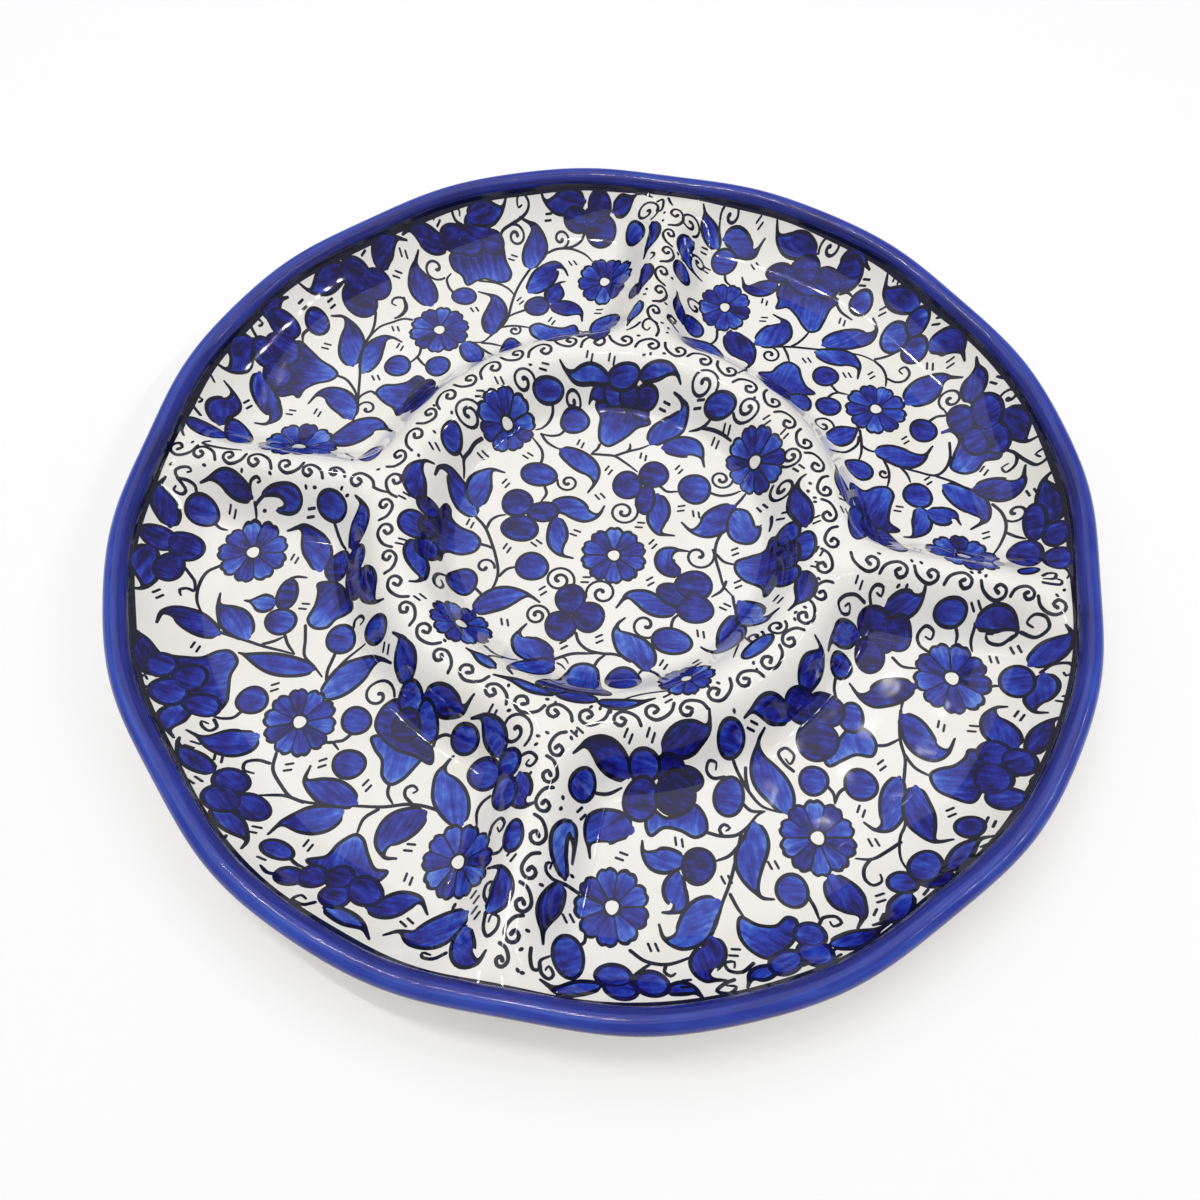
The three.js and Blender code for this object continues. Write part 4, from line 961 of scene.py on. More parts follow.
def paint_near_corners(p):
    p.line((-125.5, -84.5), (-127, -85), (-129, -83), (-128.6, -81.3), (-127.5, -82.3))
    p.line((-107.5, -88.3), (-105.8, -90.5), (-107, -92.5), (-109.5, -91.5), (-110.2, -90), (-108.3, -90.2))
    p.line((-101.5, -83.5), (-103, -86), (-106.5, -87.3), (-109, -87))
    p.line((102, -90), (98, -93.5), (94, -96.3), (89.5, -96.7))
    p.line((93.5, -96.5), (91.8, -99.5), (92, -103), (94, -104.6), (96.3, -103), (96, -101))
    p.leaf(9.5, (-94, -90), (-97, -93), (-101, -94.8), (-106, -95.8), (-112, -94.6), tone=(0.6, 0.1))
    p.leaf(6, (-99.8, -105.5), (-104, -104.3), (-108.5, -102.3), (-111.5, -100), (-112.2, -97.8), tone=(0.1, 0.3))
    p.leaf(5.5, (-95, -116.3), (-91, -118.5), (-86.5, -121), (-83, -123.8), (-83, -126.5), tone=(0.5, 0.1))
    p.cluster((
        (-86.5, -113, 4.8, 3.6, -25), (-94.8, -106.7, 4.5, 3.8, -20), (-94.3, -113, 4.7, 3.9, -30),
    ), tone=(0.4, 0.1))
    p.leaf(7.4, (-83.8, -65.5), (-90, -65.8), (-96, -65.8), (-103, -65), (-109, -64), tail=0.04, tone=(0.5, 0.3))
    p.leaf(6.5, (-126.5, -80), (-129.5, -77), (-132.5, -72.5), (-134.5, -69), (-138.3, -66.8), tone=(0.0, 0.2))
    p.leaf(6.5, (-115.2, -86), (-117, -91), (-116, -96), (-113.2, -98.6), tone=(0.6, 0.1))
    p.blob(
        (-127, -72), (-124, -70.5), (-119, -68.5), (-115.5, -65), (-112, -64), (-108.5, -67), (-109, -72),
        (-107.5, -78), (-106.8, -81.5), (-109, -87), (-113, -87), (-118, -81), (-124, -77),
        axis=((-119, -77), (-109, -70)), tone=(0.0, 0.6),
    )
    p.cluster((
        (-127, -75.5, 3.6, 4), (-121.5, -83.5, 4.3, 4.8), (-112.3, -84.5, 4.6, 3.8), (-119, -76.4, 4, 4.6),
    ), tone=(0.1, 0.5))
    p.leaf(4.5, (112.6, -99), (115.5, -95), (118.5, -91), (121.5, -88.3), (125, -87.3), tone=(0.1, 0.7))
    p.leaf(5.5, (102.8, -106.5), (100.5, -110), (98.5, -113.5), (95.5, -116), (92.8, -117.2), tone=(0.6, 0.0))
    p.berry(101.3, -103.3, 3.6, 3.4, tone=(0.5, 0.2))
    p.berry(109, -101, 4.4, 3.6, 20, tone=(0.0, 0.1))
    p.berry(107.6, -97.6, 3.9, 5.4, -25, tone=(0.2, 0.6))
    p.berry(120, -84, 3.2, 3.9, -40, tone=(0.2, 0.3))
    for x, y, angle in (
        (-108.5, -98.8, 0), (-101, -100.5, -75), (-102.5, -110, -20), (95.5, -108.5, 25), (94.5, -113.8, 65),
        (107, -107, 55), (116, -79, 30), (125, -82.5, 65), (90.5, -82, 75), (94.5, -91, -60), (122.5, -91.5, 30),
    ):
        p.tick(x, y, angle)


def paint_south_east_stems(p):
    p.line((88.8, -15), (87.7, -12.5), (89, -10.3), (91.5, -10.5), (91.5, -12.5), (89.8, -12))
    p.line((86.5, -15), (83, -14.4), (79, -16.5), (77.3, -19.5), (79, -21.5), (81.8, -19.8), (81.3, -17.5),
           (79.8, -19))
    p.line((80, -40.3), (80, -44), (81.5, -48))
    p.line((98, -29.5), (101, -32), (105.8, -32))
    p.line((117, -17.5), (117.8, -19), (117.8, -21.5))
    p.line(
        (109.5, -25.5), (106.5, -23.5), (105.5, -20.5), (107.5, -17.8), (110.3, -19), (109.8, -21.2), (108, -20.6)
    )
    p.line((122.6, -16), (122.4, -20), (123.3, -22.8))
    p.line((134.5, -18), (131.5, -20.2), (127.5, -19.5), (126.6, -17.8), (128.6, -17.6))
    p.line((136.5, -17), (141, -18.5), (143.8, -16), (142.5, -13), (139, -12.5), (137.5, -14.5), (139.5, -15.8))
    p.line((128.5, -35), (130, -34.4), (131.5, -34.6))
    p.line((142, -30.5), (145, -28.3), (148.5, -29), (149.3, -31.8), (147.5, -33.2), (147, -31.8))
    p.line((134, -76), (133.4, -78.5), (131, -80.6), (129, -82))
    p.line((133, -67), (135.5, -65.3), (137.8, -66), (137.5, -69), (135.5, -69.8), (136.3, -67.8))
    p.line((101.2, -47.5), (101, -53), (101.5, -58), (103, -63), (103, -67), (102.8, -72), (103.5, -78),
           (103.3, -84.5), (102, -88), (101.5, -92), (101.8, -96), (103.3, -99.5))
    p.line((102.6, -61.5), (106, -65.5), (110.8, -67.5))
    p.line((106, -38.5), (103.5, -40.5), (101.8, -44), (101.2, -47.5))
    p.line((93.5, -60.5), (97, -59.8), (101.2, -57))
    p.line((69.5, -73), (66.5, -71), (64.5, -68), (66.5, -66), (69.3, -68), (68.3, -71), (66.8, -69.5))
    p.line((51, -73.5), (54, -78), (57, -82), (61, -85.5), (66, -86.5))
    p.line((55, -74.5), (55.5, -78), (57, -82))
    p.line((55, -85.5), (58, -87.5), (62, -87))
    p.line((49, -78.5), (45.5, -79.5), (43.3, -78), (43.5, -75.5), (45.8, -75.3), (46, -77))
    p.line((11.5, -91), (15, -90), (18.8, -87.6))
    p.line((45.5, -96.2), (50, -96.6), (54.5, -95.5), (57.5, -92.5), (60, -88.5), (62, -87))
    p.line((50.5, -96.5), (49.3, -94.8), (50.5, -93), (52.3, -93.8), (51.3, -94.8))
    p.line((55.8, -95), (55, -103), (54, -110), (52.5, -116), (51.5, -122), (50, -127))
    p.line((55.5, -98.5), (53, -102), (49.3, -104.2))
    p.line((28.5, -133.5), (33, -135.8), (39, -135.8), (46.5, -132))
    p.line((38.8, -136), (38.5, -138), (40.3, -139), (41.5, -138))
    p.line((13.5, -135), (15.5, -133.5), (15.3, -130))
    p.line((30.5, -140.5), (33, -137.8), (35, -136))
    p.line((62, -132), (59, -135), (55.5, -135), (54.5, -133), (57, -132.3), (57, -134))
    p.line((57, -137.5), (54.5, -139), (52.5, -141.5), (56, -141.5), (57.5, -139.5), (55, -139.5))
    p.line((54.5, -113), (57, -116.5), (59, -118.8))
    p.line((76.5, -110), (78.3, -113), (79.5, -116.5))
    p.line((82.3, -103), (81.4, -101))
    p.line((79.5, -118), (80.5, -116), (84, -115.3), (85.2, -117), (83, -118.3), (82.3, -117))
    p.line((74.5, -131), (77, -129.8), (80, -130.5), (78.5, -131.5))
    p.line((80, -76), (82, -78), (82.6, -81))
    p.line((85.5, -75.5), (83.6, -77.5), (82.6, -81))


def paint_south_east_leaves(p):
    p.leaf(7.5, (86.8, -23.5), (82.5, -25.5), (79, -29), (76.5, -31.5), (76, -34.5), tone=(0.4, 0.3))
    p.leaf(6.5, (122.5, -15.8), (127, -14), (132, -14.3), (135.5, -17), (134, -19), tone=(0.4, 0.1))
    p.leaf(8.5, (134, -57), (132, -53), (129.5, -49.5), (128.5, -45.5), (130, -42.3), (133, -42), tone=(0.4, 0.3))
    p.leaf(5.5, (137, -60), (139, -55.5), (141, -51), (143, -48.5), (146.3, -47.5), tone=(0.1, 0.3))
    p.leaf(9.5, (101.5, -49), (105, -52.5), (108, -57), (112, -59.5), (116, -58.5), (118, -54), tone=(0.2, 0.6))
    p.leaf(9, (105, -38), (101, -40), (96, -42.5), (92, -45), (88, -44.5), (84.8, -41), tone=(0.1, 0.2))
    p.leaf(8, (101.5, -69.5), (100, -75), (99.5, -81), (98, -85.5), (95, -87), (91.5, -85.3), tone=(0.5, 0.3))
    p.leaf(9, (106.5, -71.5), (106.8, -78), (108.5, -84.5), (111, -89), (115.5, -88.3), tone=(0.5, 0.1))
    p.leaf(7.5, (66.5, -57.5), (62, -57), (57.5, -58), (54, -60), (52, -62.5), tone=(0.1, 0.4))
    p.leaf(10, (69, -86.3), (66, -81), (61.5, -76), (58.5, -70.5), (57.8, -66), (59, -62.5), tone=(0.6, 0.2))
    p.leaf(10.5, (23.8, -99.5), (19, -99), (14.5, -100.5), (12, -105), (13, -109.8), tone=(0.3, 0.5))
    p.leaf(
        9, (59.3, -91), (60.3, -96.5), (59, -102.5), (60.5, -108.5), (63.5, -112.3), (67, -112.3), tone=(0.6, 0.5)
    )
    p.leaf(10, (51.5, -115.5), (47.5, -119.5), (45, -125), (41.5, -128.5), (37.5, -128.5), (35.5, -124.8),
           tone=(0.6, 0.6))
    p.leaf(8, (50.3, -126), (51.3, -130), (48.5, -134.5), (50, -138), (55, -138), tone=(0.3, 0.1))
    p.leaf(9.5, (82.5, -103), (85.5, -107.5), (88.5, -111), (90.5, -114.5), (89, -118.5), tone=(0.6, 0.0))


def paint_south_east_flowers(p):
    for berry in (
        (81.3, -36.3, 3.7, 3.8), (114, -14, 4.8, 3.5), (75.8, -75, 4.2, 4.5), (90, -73.8, 4.8, 4.9),
        (49, -68.5, 4.2, 4.6), (51, -84.3, 4.3, 6.2), (7.5, -90.7, 3.3, 5, -15), (12, -138.5, 4.2, 6, 25),
        (72, -109, 4.5, 4.8),
    ):
        p.berry(*berry)
    p.leaf(7, (93.5, -15.2), (98, -14), (102.5, -12.8), (104.3, -10.5), (104.2, -8), tone=(0.1, 0.4))
    p.cluster(((90.5, -30, 4.3, 6), (99, -21.5, 4.3, 5), (91, -20, 5, 4.8), (95, -24.6, 3, 3.4)), tone=(0.0, 0.2))
    p.leaf(8, (139.5, -27.5), (143.5, -24.5), (147.5, -21), (149.3, -18.5), (148, -15.5), tone=(0.4, 0.4))
    p.leaf(7, (142.5, -31), (142.5, -36), (139.5, -41), (139.5, -44.5), (142.3, -45.5), tone=(0.5, 0.2))
    p.berry(136, -33, 4.6, 5.5, tone=(0.6, 0.2))
    p.blob(
        (110.8, -67), (113, -65), (118, -63), (121, -60), (122, -57.5), (125, -58), (126, -65), (124, -72),
        (121.5, -75.5), (117, -74), (112.5, -71.5), axis=((125, -67), (112, -67)), tone=(0.0, 0.7),
    )
    p.cluster((
        (129.5, -74.5, 4.3, 3.5), (128.5, -58.5, 4, 4), (134, -62, 3.5, 4.8, 20), (127.5, -67.4, 4.2, 5.4),
    ), tone=(0.1, 0.4))
    p.leaf(7.5, (69.5, -49), (70.5, -43.5), (73, -38), (73.3, -35.5), (70.5, -33), tone=(0.2, 0.4))
    p.blob(
        (86.5, -55.5), (91, -56), (94, -60), (93, -64), (88, -64.5), (84, -67), (80, -69.5), (78.5, -67),
        (82, -61.5), axis=((84, -58), (88, -66)), tone=(0.4, 0.8),
    )
    p.berry(86, -52.5, 3.8, 4.8, tone=(0.3, 0.6))
    p.cluster(((76, -62, 6, 6.3), (70, -52.8, 5.4, 4.6), (78, -51.4, 5.5, 5)), tone=(0.0, 0.2))
    p.leaf(8.5, (29.5, -77.5), (33, -74), (37.5, -71), (41.5, -68), (41, -63.5), tone=(0.0, 0.2))
    p.leaf(8, (20.3, -84.5), (15.5, -82), (10, -80), (6.5, -80.3), (3.5, -83.5), tone=(0.3, 0.0))
    p.blob(
        (28.5, -92), (33, -94), (38, -92), (41, -88.5), (44.5, -91.5), (45.5, -96), (42.5, -98.3), (38, -97),
        (33, -97), (29.5, -100), (27.6, -97), axis=((36, -90), (36, -99)), tone=(0.1, 0.85),
    )
    for berry, tone in (
        ((38, -81.8, 4.6, 3.4), (0.0, 0.1)), ((32.4, -80.4, 4.4, 3.6), (0.1, 0.1)),
        ((24.5, -81.3, 4.6, 3.9), (0.3, 0.6)),
        ((25, -90, 5, 6.3), (0.2, 0.3)), ((35, -86.4, 6, 6.4, -20), (0.0, 0.0)),
    ):
        p.berry(*berry, tone=tone)
    p.leaf(7.5, (40.3, -105.5), (36, -106.3), (31.5, -106.8), (28, -105), (27.3, -102), tone=(0.5, 0.6))
    p.leaf(6.8, (39, -109.5), (38.5, -114.5), (40.5, -118.5), (38.5, -120.8), (36, -121.3), tone=(0.4, 0.6))
    p.berry(44.5, -106.5, 4.6, 5.3, tone=(0.0, 0.2))
    p.leaf(4, (22, -145), (17, -146.5), (11, -148.3), (6, -146.5), tone=(0.6, 0.2))
    p.leaf(3.5, (39.5, -143.5), (43.5, -142), (47, -142.3), (49.5, -144.5), tone=(0.3, 0.4))
    p.cluster(((27.5, -145, 4.3, 2.5), (35.5, -142, 4.5, 3.2), (25, -141.5, 4.8, 3)), tone=(0.3, 0.5))
    p.leaf(5, (82, -124), (86.5, -122.5), (91, -120.5), (96.5, -116.5), tone=(0.7, 0.0))
    p.leaf(4, (68, -132.8), (64.5, -134.5), (61.5, -136), (60.3, -139.3), tone=(0.6, 0.2))
    p.blob(
        (58, -119), (63, -120.5), (68, -120), (71, -117), (73.3, -117.5), (73.5, -121.5), (71, -126),
        (66, -130), (61, -128), (58, -124), axis=((70, -125), (60, -120)), tone=(0.2, 0.8),
    )
    p.cluster(((70.4, -130.6, 4.6, 3, 35), (78, -127, 4.2, 3.6), (77, -121.5, 3.8, 3.4)), tone=(0.3, 0.5))
    p.rosette(117, -33.5, 12.2, 9, turn=15)
    p.rosette(21.6, -122.3, 11.3, 9, squash=0.95, lean=90)
    p.rosette(78.2, -92.3, 11.4, 10, turn=10)
    for x, y, angle in (
        (83.3, -11, 80), (121.2, -11.8, -50), (130, -25, -75), (136, -21.8, -60), (146.3, -41.5, -30),
        (135.8, -45.5, 60), (113.8, -50.5, 80), (123.3, -50, 0), (96, -66.5, 45), (38, -100.5, -75),
        (53, -109, -55), (22, -107.5, -10), (8.5, -98.5, 60), (66, -102.5, -55), (10, -128, -50),
        (34.7, -131.5, -60), (57, -129.5, 5), (83, -126.5, 40), (44.5, -140.5, 15), (18.5, -75.5, 75),
        (25, -74, 80), (55, -63.5, 0), (3.5, -77.5, -30),
    ):
        p.tick(x, y, angle)
    for x, y in ((96, -9.7), (98.6, -9.5), (115, -91.8), (9, -116.5)):
        p.dot(x, y)


def paint_edge_line(p):
    """The dark line at the foot of the rim band. It thins out on the far side, at the ridge."""
    angle = np.linspace(0, 2 * math.pi, 360, endpoint=False)
    width = 1.0 + 0.25 * np.sin(9 * angle) + 0.15 * np.sin(23 * angle + 1)
    thin = np.exp(-(((angle - math.pi / 2) / 0.16) ** 2))
    past_edge = -0.5
    for paint, inset in ((INK, past_edge), (GROUND, width * (1 - 0.85 * thin))):
        r = band_radius(angle) - inset
        p.loop(np.stack([r * np.cos(angle), r * np.sin(angle)], 1), paint)


def paint_all():
    p = Painting()
    paint_edge_line(p)
    paint_centre_well(p)
    paint_near_corners(p)
    paint_far_corners(p)
    paint_south_east_stems(p)
    paint_south_east_leaves(p)
    paint_south_east_flowers(p)
    paint_south_west_stems(p)
    paint_south_west_leaves(p)
    paint_south_west_flowers(p)
    paint_north_west_stems(p)
    paint_north_west_leaves(p)
    paint_north_west_flowers(p)
    paint_north_east_stems(p)
    paint_north_east_leaves(p)
    paint_north_east_flowers(p)
    return p


def linked_object(name, data):
    piece = bpy.data.objects.new(name, data)
    bpy.context.scene.collection.objects.link(piece)
    return piece


def mesh_piece(name, points, faces, material, normals=None, corner_normals=None):
    """A piece from points in millimetres, which rides on the platter's one body."""
    mesh = bpy.data.meshes.new(name)
    mesh.from_pydata((np.asarray(points) * METRES).tolist(), [], np.asarray(faces).tolist())
    mesh.materials.append(material)
    mesh.shade_smooth()
    if normals is not None:
        mesh.normals_split_custom_set_from_vertices(normals)
    if corner_normals is not None:
        mesh.normals_split_custom_set(corner_normals)
    piece = linked_object(name, mesh)
    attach(piece, "root")
    return piece


# How finely the surfaces are cut, in millimetres in plan
GROUND_STEP = 2.0
BACKING_STEP = 4.0
GROUND_EDGE_INSETS, BACKING_EDGE_INSETS = (0.4, 2.0), (0.4, 1.0, 2.0)
EDGE_POINTS = 720
# The paint's height over its ground, in millimetres, and how much lighter its edges dry
PAINT_LIFT = 0.03
EDGE_LIGHT = 0.14


def inside_loop(points, loop):
    """Which of the points lie inside the loop, by its winding number."""
    x, y = points[:, 0, None], points[:, 1, None]
    ax, ay = loop.T
    bx, by = np.roll(loop, -1, 0).T
    rising = (ay <= y) & (by > y)
    falling = (by <= y) & (ay > y)
    run = np.where(by == ay, 1, by - ay)
    crossing = ax + (y - ay) * (bx - ax) / run
    winding = np.sum(rising & (crossing > x), 1) - np.sum(falling & (crossing > x), 1)
    return winding != 0


def plan_grid(step):
    """Points in a triangular pattern over the face, clear of its edge."""
    rows = np.arange(-OUTER_RADIUS, OUTER_RADIUS, step * math.sqrt(3) / 2)
    columns = np.arange(-OUTER_RADIUS, OUTER_RADIUS, step)
    x, y = np.meshgrid(columns, rows)
    x = x + (np.arange(len(rows)) % 2)[:, None] * step / 2
    x, y = x.ravel(), y.ravel()
    keep = np.hypot(x, y) < band_radius(np.arctan2(y, x)) - step / 2
    return np.stack([x[keep], y[keep]], 1)


def edge_rings(*insets):
    """Points that follow the face's edge, where its wall bends most."""
    angle = np.linspace(0, 2 * math.pi, LOFT_LINES, endpoint=False)
    rings = [band_radius(angle) - inset for inset in insets]
    return np.vstack([np.stack([r * np.cos(angle), r * np.sin(angle)], 1) for r in rings])


def edge_loop():
    angle = np.linspace(0, 2 * math.pi, EDGE_POINTS, endpoint=False)
    r = band_radius(angle)
    return np.stack([r * np.cos(angle), r * np.sin(angle)], 1)


def triangulate(loops, extra):
    """Triangles that follow every loop's outline, within the face's edge."""
    points, edges = [], []
    for loop in [edge_loop(), *loops]:
        base = sum(len(part) for part in points)
        ring = base + np.arange(len(loop))
        points.append(loop)
        edges.append(np.stack([ring, np.roll(ring, -1)], 1))
    coords = np.vstack([*points, extra])
    edge_list = np.vstack(edges).tolist()
    made = delaunay_2d_cdt([Vector(c) for c in coords.tolist()], edge_list, [], 0, 1e-4, False)
    plan = np.array([tuple(v) for v in made[0]])
    faces = np.array([f for f in made[2] if len(f) == 3])
    middle = plan[faces].mean(1)
    inner = np.hypot(*middle.T) < band_radius(np.arctan2(middle[:, 1], middle[:, 0]))
    used, faces = compact(faces[inner])
    return plan[used], faces


def covering_loop(plan, faces, loops):
    """For each triangle, the last loop that covers it, or -1."""
    middle = plan[faces].mean(1)
    cover = np.full(len(faces), -1)
    for k, loop in enumerate(loops):
        low, high = loop.min(0), loop.max(0)
        near = np.flatnonzero(np.all((middle >= low) & (middle <= high), 1))
        cover[near[inside_loop(middle[near], loop)]] = k
    return cover


def on_face(plan, lift=0.0):
    """Points and normals on the painted face."""
    x, y = plan.T
    dx, dy = face_slopes(x, y)
    normals = np.stack([-dx, -dy, np.ones_like(dx)], 1)
    normals /= np.linalg.norm(normals, axis=1)[:, None]
    points = np.stack([x, y, face_height(x, y)], 1) + lift * normals
    return points, normals


def srgb(*channels):
    """A colour as it is seen, 0 to 255, in the shader's linear values."""
    c = np.array(channels) / 255
    linear = np.where(c <= 0.04045, c / 12.92, ((c + 0.055) / 1.055) ** 2.4)
    return (*linear, 1.0)


class Shader:
    """A Principled material and short ways to wire what drives it."""

    def __init__(self, name, **sockets):
        self.material = bpy.data.materials.new(name)
        self.material.use_nodes = True
        self.tree = self.material.node_tree
        self.principled = self.tree.nodes["Principled BSDF"]
        for socket, value in sockets.items():
            self.principled.inputs[socket.replace("_", " ")].default_value = value

    def node(self, kind, values=(), **settings):
        made = self.tree.nodes.new(kind)
        for key, value in settings.items():
            setattr(made, key, value)
        for key, value in dict(values).items():
            made.inputs[key].default_value = value
        return made

    def link(self, source, target):
        self.tree.links.new(source, target)

    def noise(self, vector, scale, detail=3.0, roughness=0.55):
        made = self.node("ShaderNodeTexNoise", {"Scale": scale, "Detail": detail, "Roughness": roughness})
        self.link(vector, made.inputs["Vector"])
        return made.outputs["Fac"]

    def ramp(self, factor, *stops):
        made = self.node("ShaderNodeValToRGB")
        ramp = made.color_ramp
        while len(ramp.elements) < len(stops):
            ramp.elements.new(0.5)
        for element, (place, colour) in zip(ramp.elements, stops):
            element.position = place
            element.color = colour
        self.link(factor, made.inputs["Fac"])
        return made.outputs["Color"]

    def spread(self, factor, low, high):
        """The factor, 0 to 1, spread between two values."""
        made = self.node("ShaderNodeMapRange", {"To Min": low, "To Max": high})
        self.link(factor, made.inputs["Value"])
        return made.outputs["Result"]

    def math(self, operation, first, second):
        made = self.node("ShaderNodeMath", operation=operation)
        for socket, value in zip(made.inputs, (first, second)):
            if isinstance(value, (int, float)):
                socket.default_value = value
            else:
                self.link(value, socket)
        return made.outputs["Value"]

    def bump(self, height, distance, strength=1.0):
        made = self.node("ShaderNodeBump", {"Distance": distance, "Strength": strength})
        self.link(height, made.inputs["Height"])
        self.link(made.outputs["Normal"], self.principled.inputs["Normal"])

    def position(self):
        return self.node("ShaderNodeTexCoord").outputs["Object"]

    def attribute(self, name):
        return self.node("ShaderNodeAttribute", attribute_name=name)


def glaze(name, *stops, patch_scale=28.0, roughness=(0.03, 0.07), ripple=0.00006):
    """A clear gloss glaze over a colour that drifts a little from place to place."""
    s = Shader(name)
    place = s.position()
    drift = s.noise(place, patch_scale)
    s.link(s.ramp(drift, *stops), s.principled.inputs["Base Color"])
    s.link(s.spread(s.noise(place, 160.0), *roughness), s.principled.inputs["Roughness"])
    s.bump(s.noise(place, 90.0, detail=1.0), ripple)
    return s.material


def white_ground():
    return glaze(
        "white_ground",
        (0.3, srgb(241, 238, 227)),
        (0.5, srgb(247, 245, 237)),
        (0.72, srgb(250, 249, 243)),
    )


def ink_paint():
    return glaze("ink_paint", (0.3, srgb(8, 10, 26)), (0.65, srgb(22, 26, 54)), patch_scale=160.0)


def blue_paint():
    """Cobalt wash: dark where the brush starts, lighter and streaked where it runs out."""
    s = Shader("blue_paint")
    tone = s.attribute("tone").outputs["Fac"]
    streak = s.noise(s.attribute("brush").outputs["Vector"], 1.0, detail=4.0, roughness=0.6)
    cloud = s.noise(s.position(), 240.0)
    mottle = s.math("ADD", s.spread(streak, -0.7, 0.7), s.spread(cloud, -0.5, 0.5))
    shade = s.math("ADD", tone, mottle)
    colour = s.ramp(
        shade,
        (0.0, srgb(15, 12, 70)),
        (0.1, srgb(22, 18, 104)),
        (0.3, srgb(30, 36, 144)),
        (0.55, srgb(40, 64, 176)),
        (0.8, srgb(60, 98, 202)),
        (1.0, srgb(96, 134, 216)),
    )
    s.link(colour, s.principled.inputs["Base Color"])
    s.link(s.spread(cloud, 0.03, 0.08), s.principled.inputs["Roughness"])
    s.bump(s.noise(s.position(), 90.0, detail=1.0), 0.00006)
    return s.material


def paint_face():
    """The white ground as one closed coat, with the ink and the blue laid on it."""
    painting = paint_all()
    loops = [loop for loop, *_ in painting.loops]
    extra = np.vstack([plan_grid(GROUND_STEP), edge_rings(*GROUND_EDGE_INSETS)])
    plan, faces = triangulate(loops, extra)
    cover = covering_loop(plan, faces, loops)
    paints = np.array([GROUND] + [paint for _, paint, *_ in painting.loops])[cover + 1]
    ground_coat(plan, faces)
    ink_sheet(plan, faces[paints == INK])
    first, last = np.full(len(plan), len(loops)), np.full(len(plan), -1)
    for corner in faces.T:
        np.minimum.at(first, corner, cover)
        np.maximum.at(last, corner, cover)
    blue_sheet(plan, faces[paints == BLUE], cover[paints == BLUE], painting, first != last)


def ground_coat(plan, faces):
    """The coat's top follows the painting's triangles, and its underside is plainer."""
    top, top_normals = on_face(plan)
    extra = np.vstack([plan_grid(BACKING_STEP), edge_rings(*BACKING_EDGE_INSETS)])
    under_plan, under_faces = triangulate([], extra)
    x, y = under_plan.T
    under = np.stack([x, y, layer_height(x, y, GLAZE_THICKNESS)], 1)
    edge = np.arange(EDGE_POINTS)
    after = np.roll(edge, -1)
    base = len(top)
    wall = np.vstack([
        np.stack([edge, base + edge, base + after], 1),
        np.stack([edge, base + after, after], 1),
    ])
    triangles = np.vstack([faces, base + under_faces[:, ::-1], wall])
    outward = top[edge] * (1, 1, 0)
    outward /= np.linalg.norm(outward, axis=1)[:, None]
    corner_normals = np.vstack([
        top_normals[faces].reshape(-1, 3),
        -on_face(under_plan)[1][under_faces[:, ::-1]].reshape(-1, 3),
        np.repeat(np.vstack([outward, outward]), 3, 0),
    ])
    points = np.vstack([top, under])
    piece = mesh_piece(
        "face_ground", points, triangles, white_ground(), corner_normals=corner_normals
    )
    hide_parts("face_glaze")


def compact(faces):
    """The points that the faces use, and the faces renumbered to match."""
    used, local = np.unique(faces, return_inverse=True)
    return used, local.reshape(faces.shape)


def ink_sheet(plan, faces):
    """All the ink as one thin sheet on the ground."""
    used, local = compact(faces)
    points, normals = on_face(plan[used], PAINT_LIFT)
    mesh_piece("ink_lines", points, local, ink_paint(), normals)


def blue_sheet(plan, faces, loop_of, painting, on_border):
    """The blue fills. Each keeps its own points, so that its tone and brush run don't mix."""
    keys = faces + loop_of[:, None] * len(plan)
    used, local = compact(keys)
    loop_at, point_at = np.divmod(used, len(plan))
    points, normals = on_face(plan[point_at], PAINT_LIFT)
    piece = mesh_piece("blue_fills", points, local, blue_paint(), normals)
    starts = np.array([axis[0] for _, _, axis, _ in painting.loops])[loop_at]
    runs = np.array([axis[1] - axis[0] for _, _, axis, _ in painting.loops])[loop_at]
    tones = np.array([tone for *_, tone in painting.loops])[loop_at]
    length = np.maximum(np.hypot(*runs.T), 1e-6)
    offset = plan[point_at] - starts
    along = np.sum(offset * runs, 1) / length
    across = (offset[:, 1] * runs[:, 0] - offset[:, 0] * runs[:, 1]) / length
    tone = tones[:, 0] + (tones[:, 1] - tones[:, 0]) * np.clip(along / length, 0, 1)
    tone += EDGE_LIGHT * (on_border[point_at] & (tones[:, 1] > 0))
    brush = np.stack([along * 0.12, across * 0.75, loop_at * 3.1], 1)
    mesh = piece.data
    mesh.attributes.new("tone", "FLOAT", "POINT").data.foreach_set("value", tone.astype(np.float32))
    brush_data = mesh.attributes.new("brush", "FLOAT_VECTOR", "POINT").data
    brush_data.foreach_set("vector", brush.astype(np.float32).ravel())


# Lofted pieces: rings of points round the middle, joined into closed bodies
LOFT_LINES = 480
ANGLES = np.linspace(0, 2 * math.pi, LOFT_LINES, endpoint=False)


def ring_at(radius, height):
    """A ring of points. radius and height are numbers or arrays over ANGLES, or height is a function."""
    r = np.broadcast_to(radius, ANGLES.shape)
    x, y = r * np.cos(ANGLES), r * np.sin(ANGLES)
    z = height(x, y) if callable(height) else np.broadcast_to(height, ANGLES.shape)
    return np.stack([x, y, z], 1)


def layer_ring(radius, depth):
    return ring_at(radius, lambda x, y: layer_height(x, y, depth))


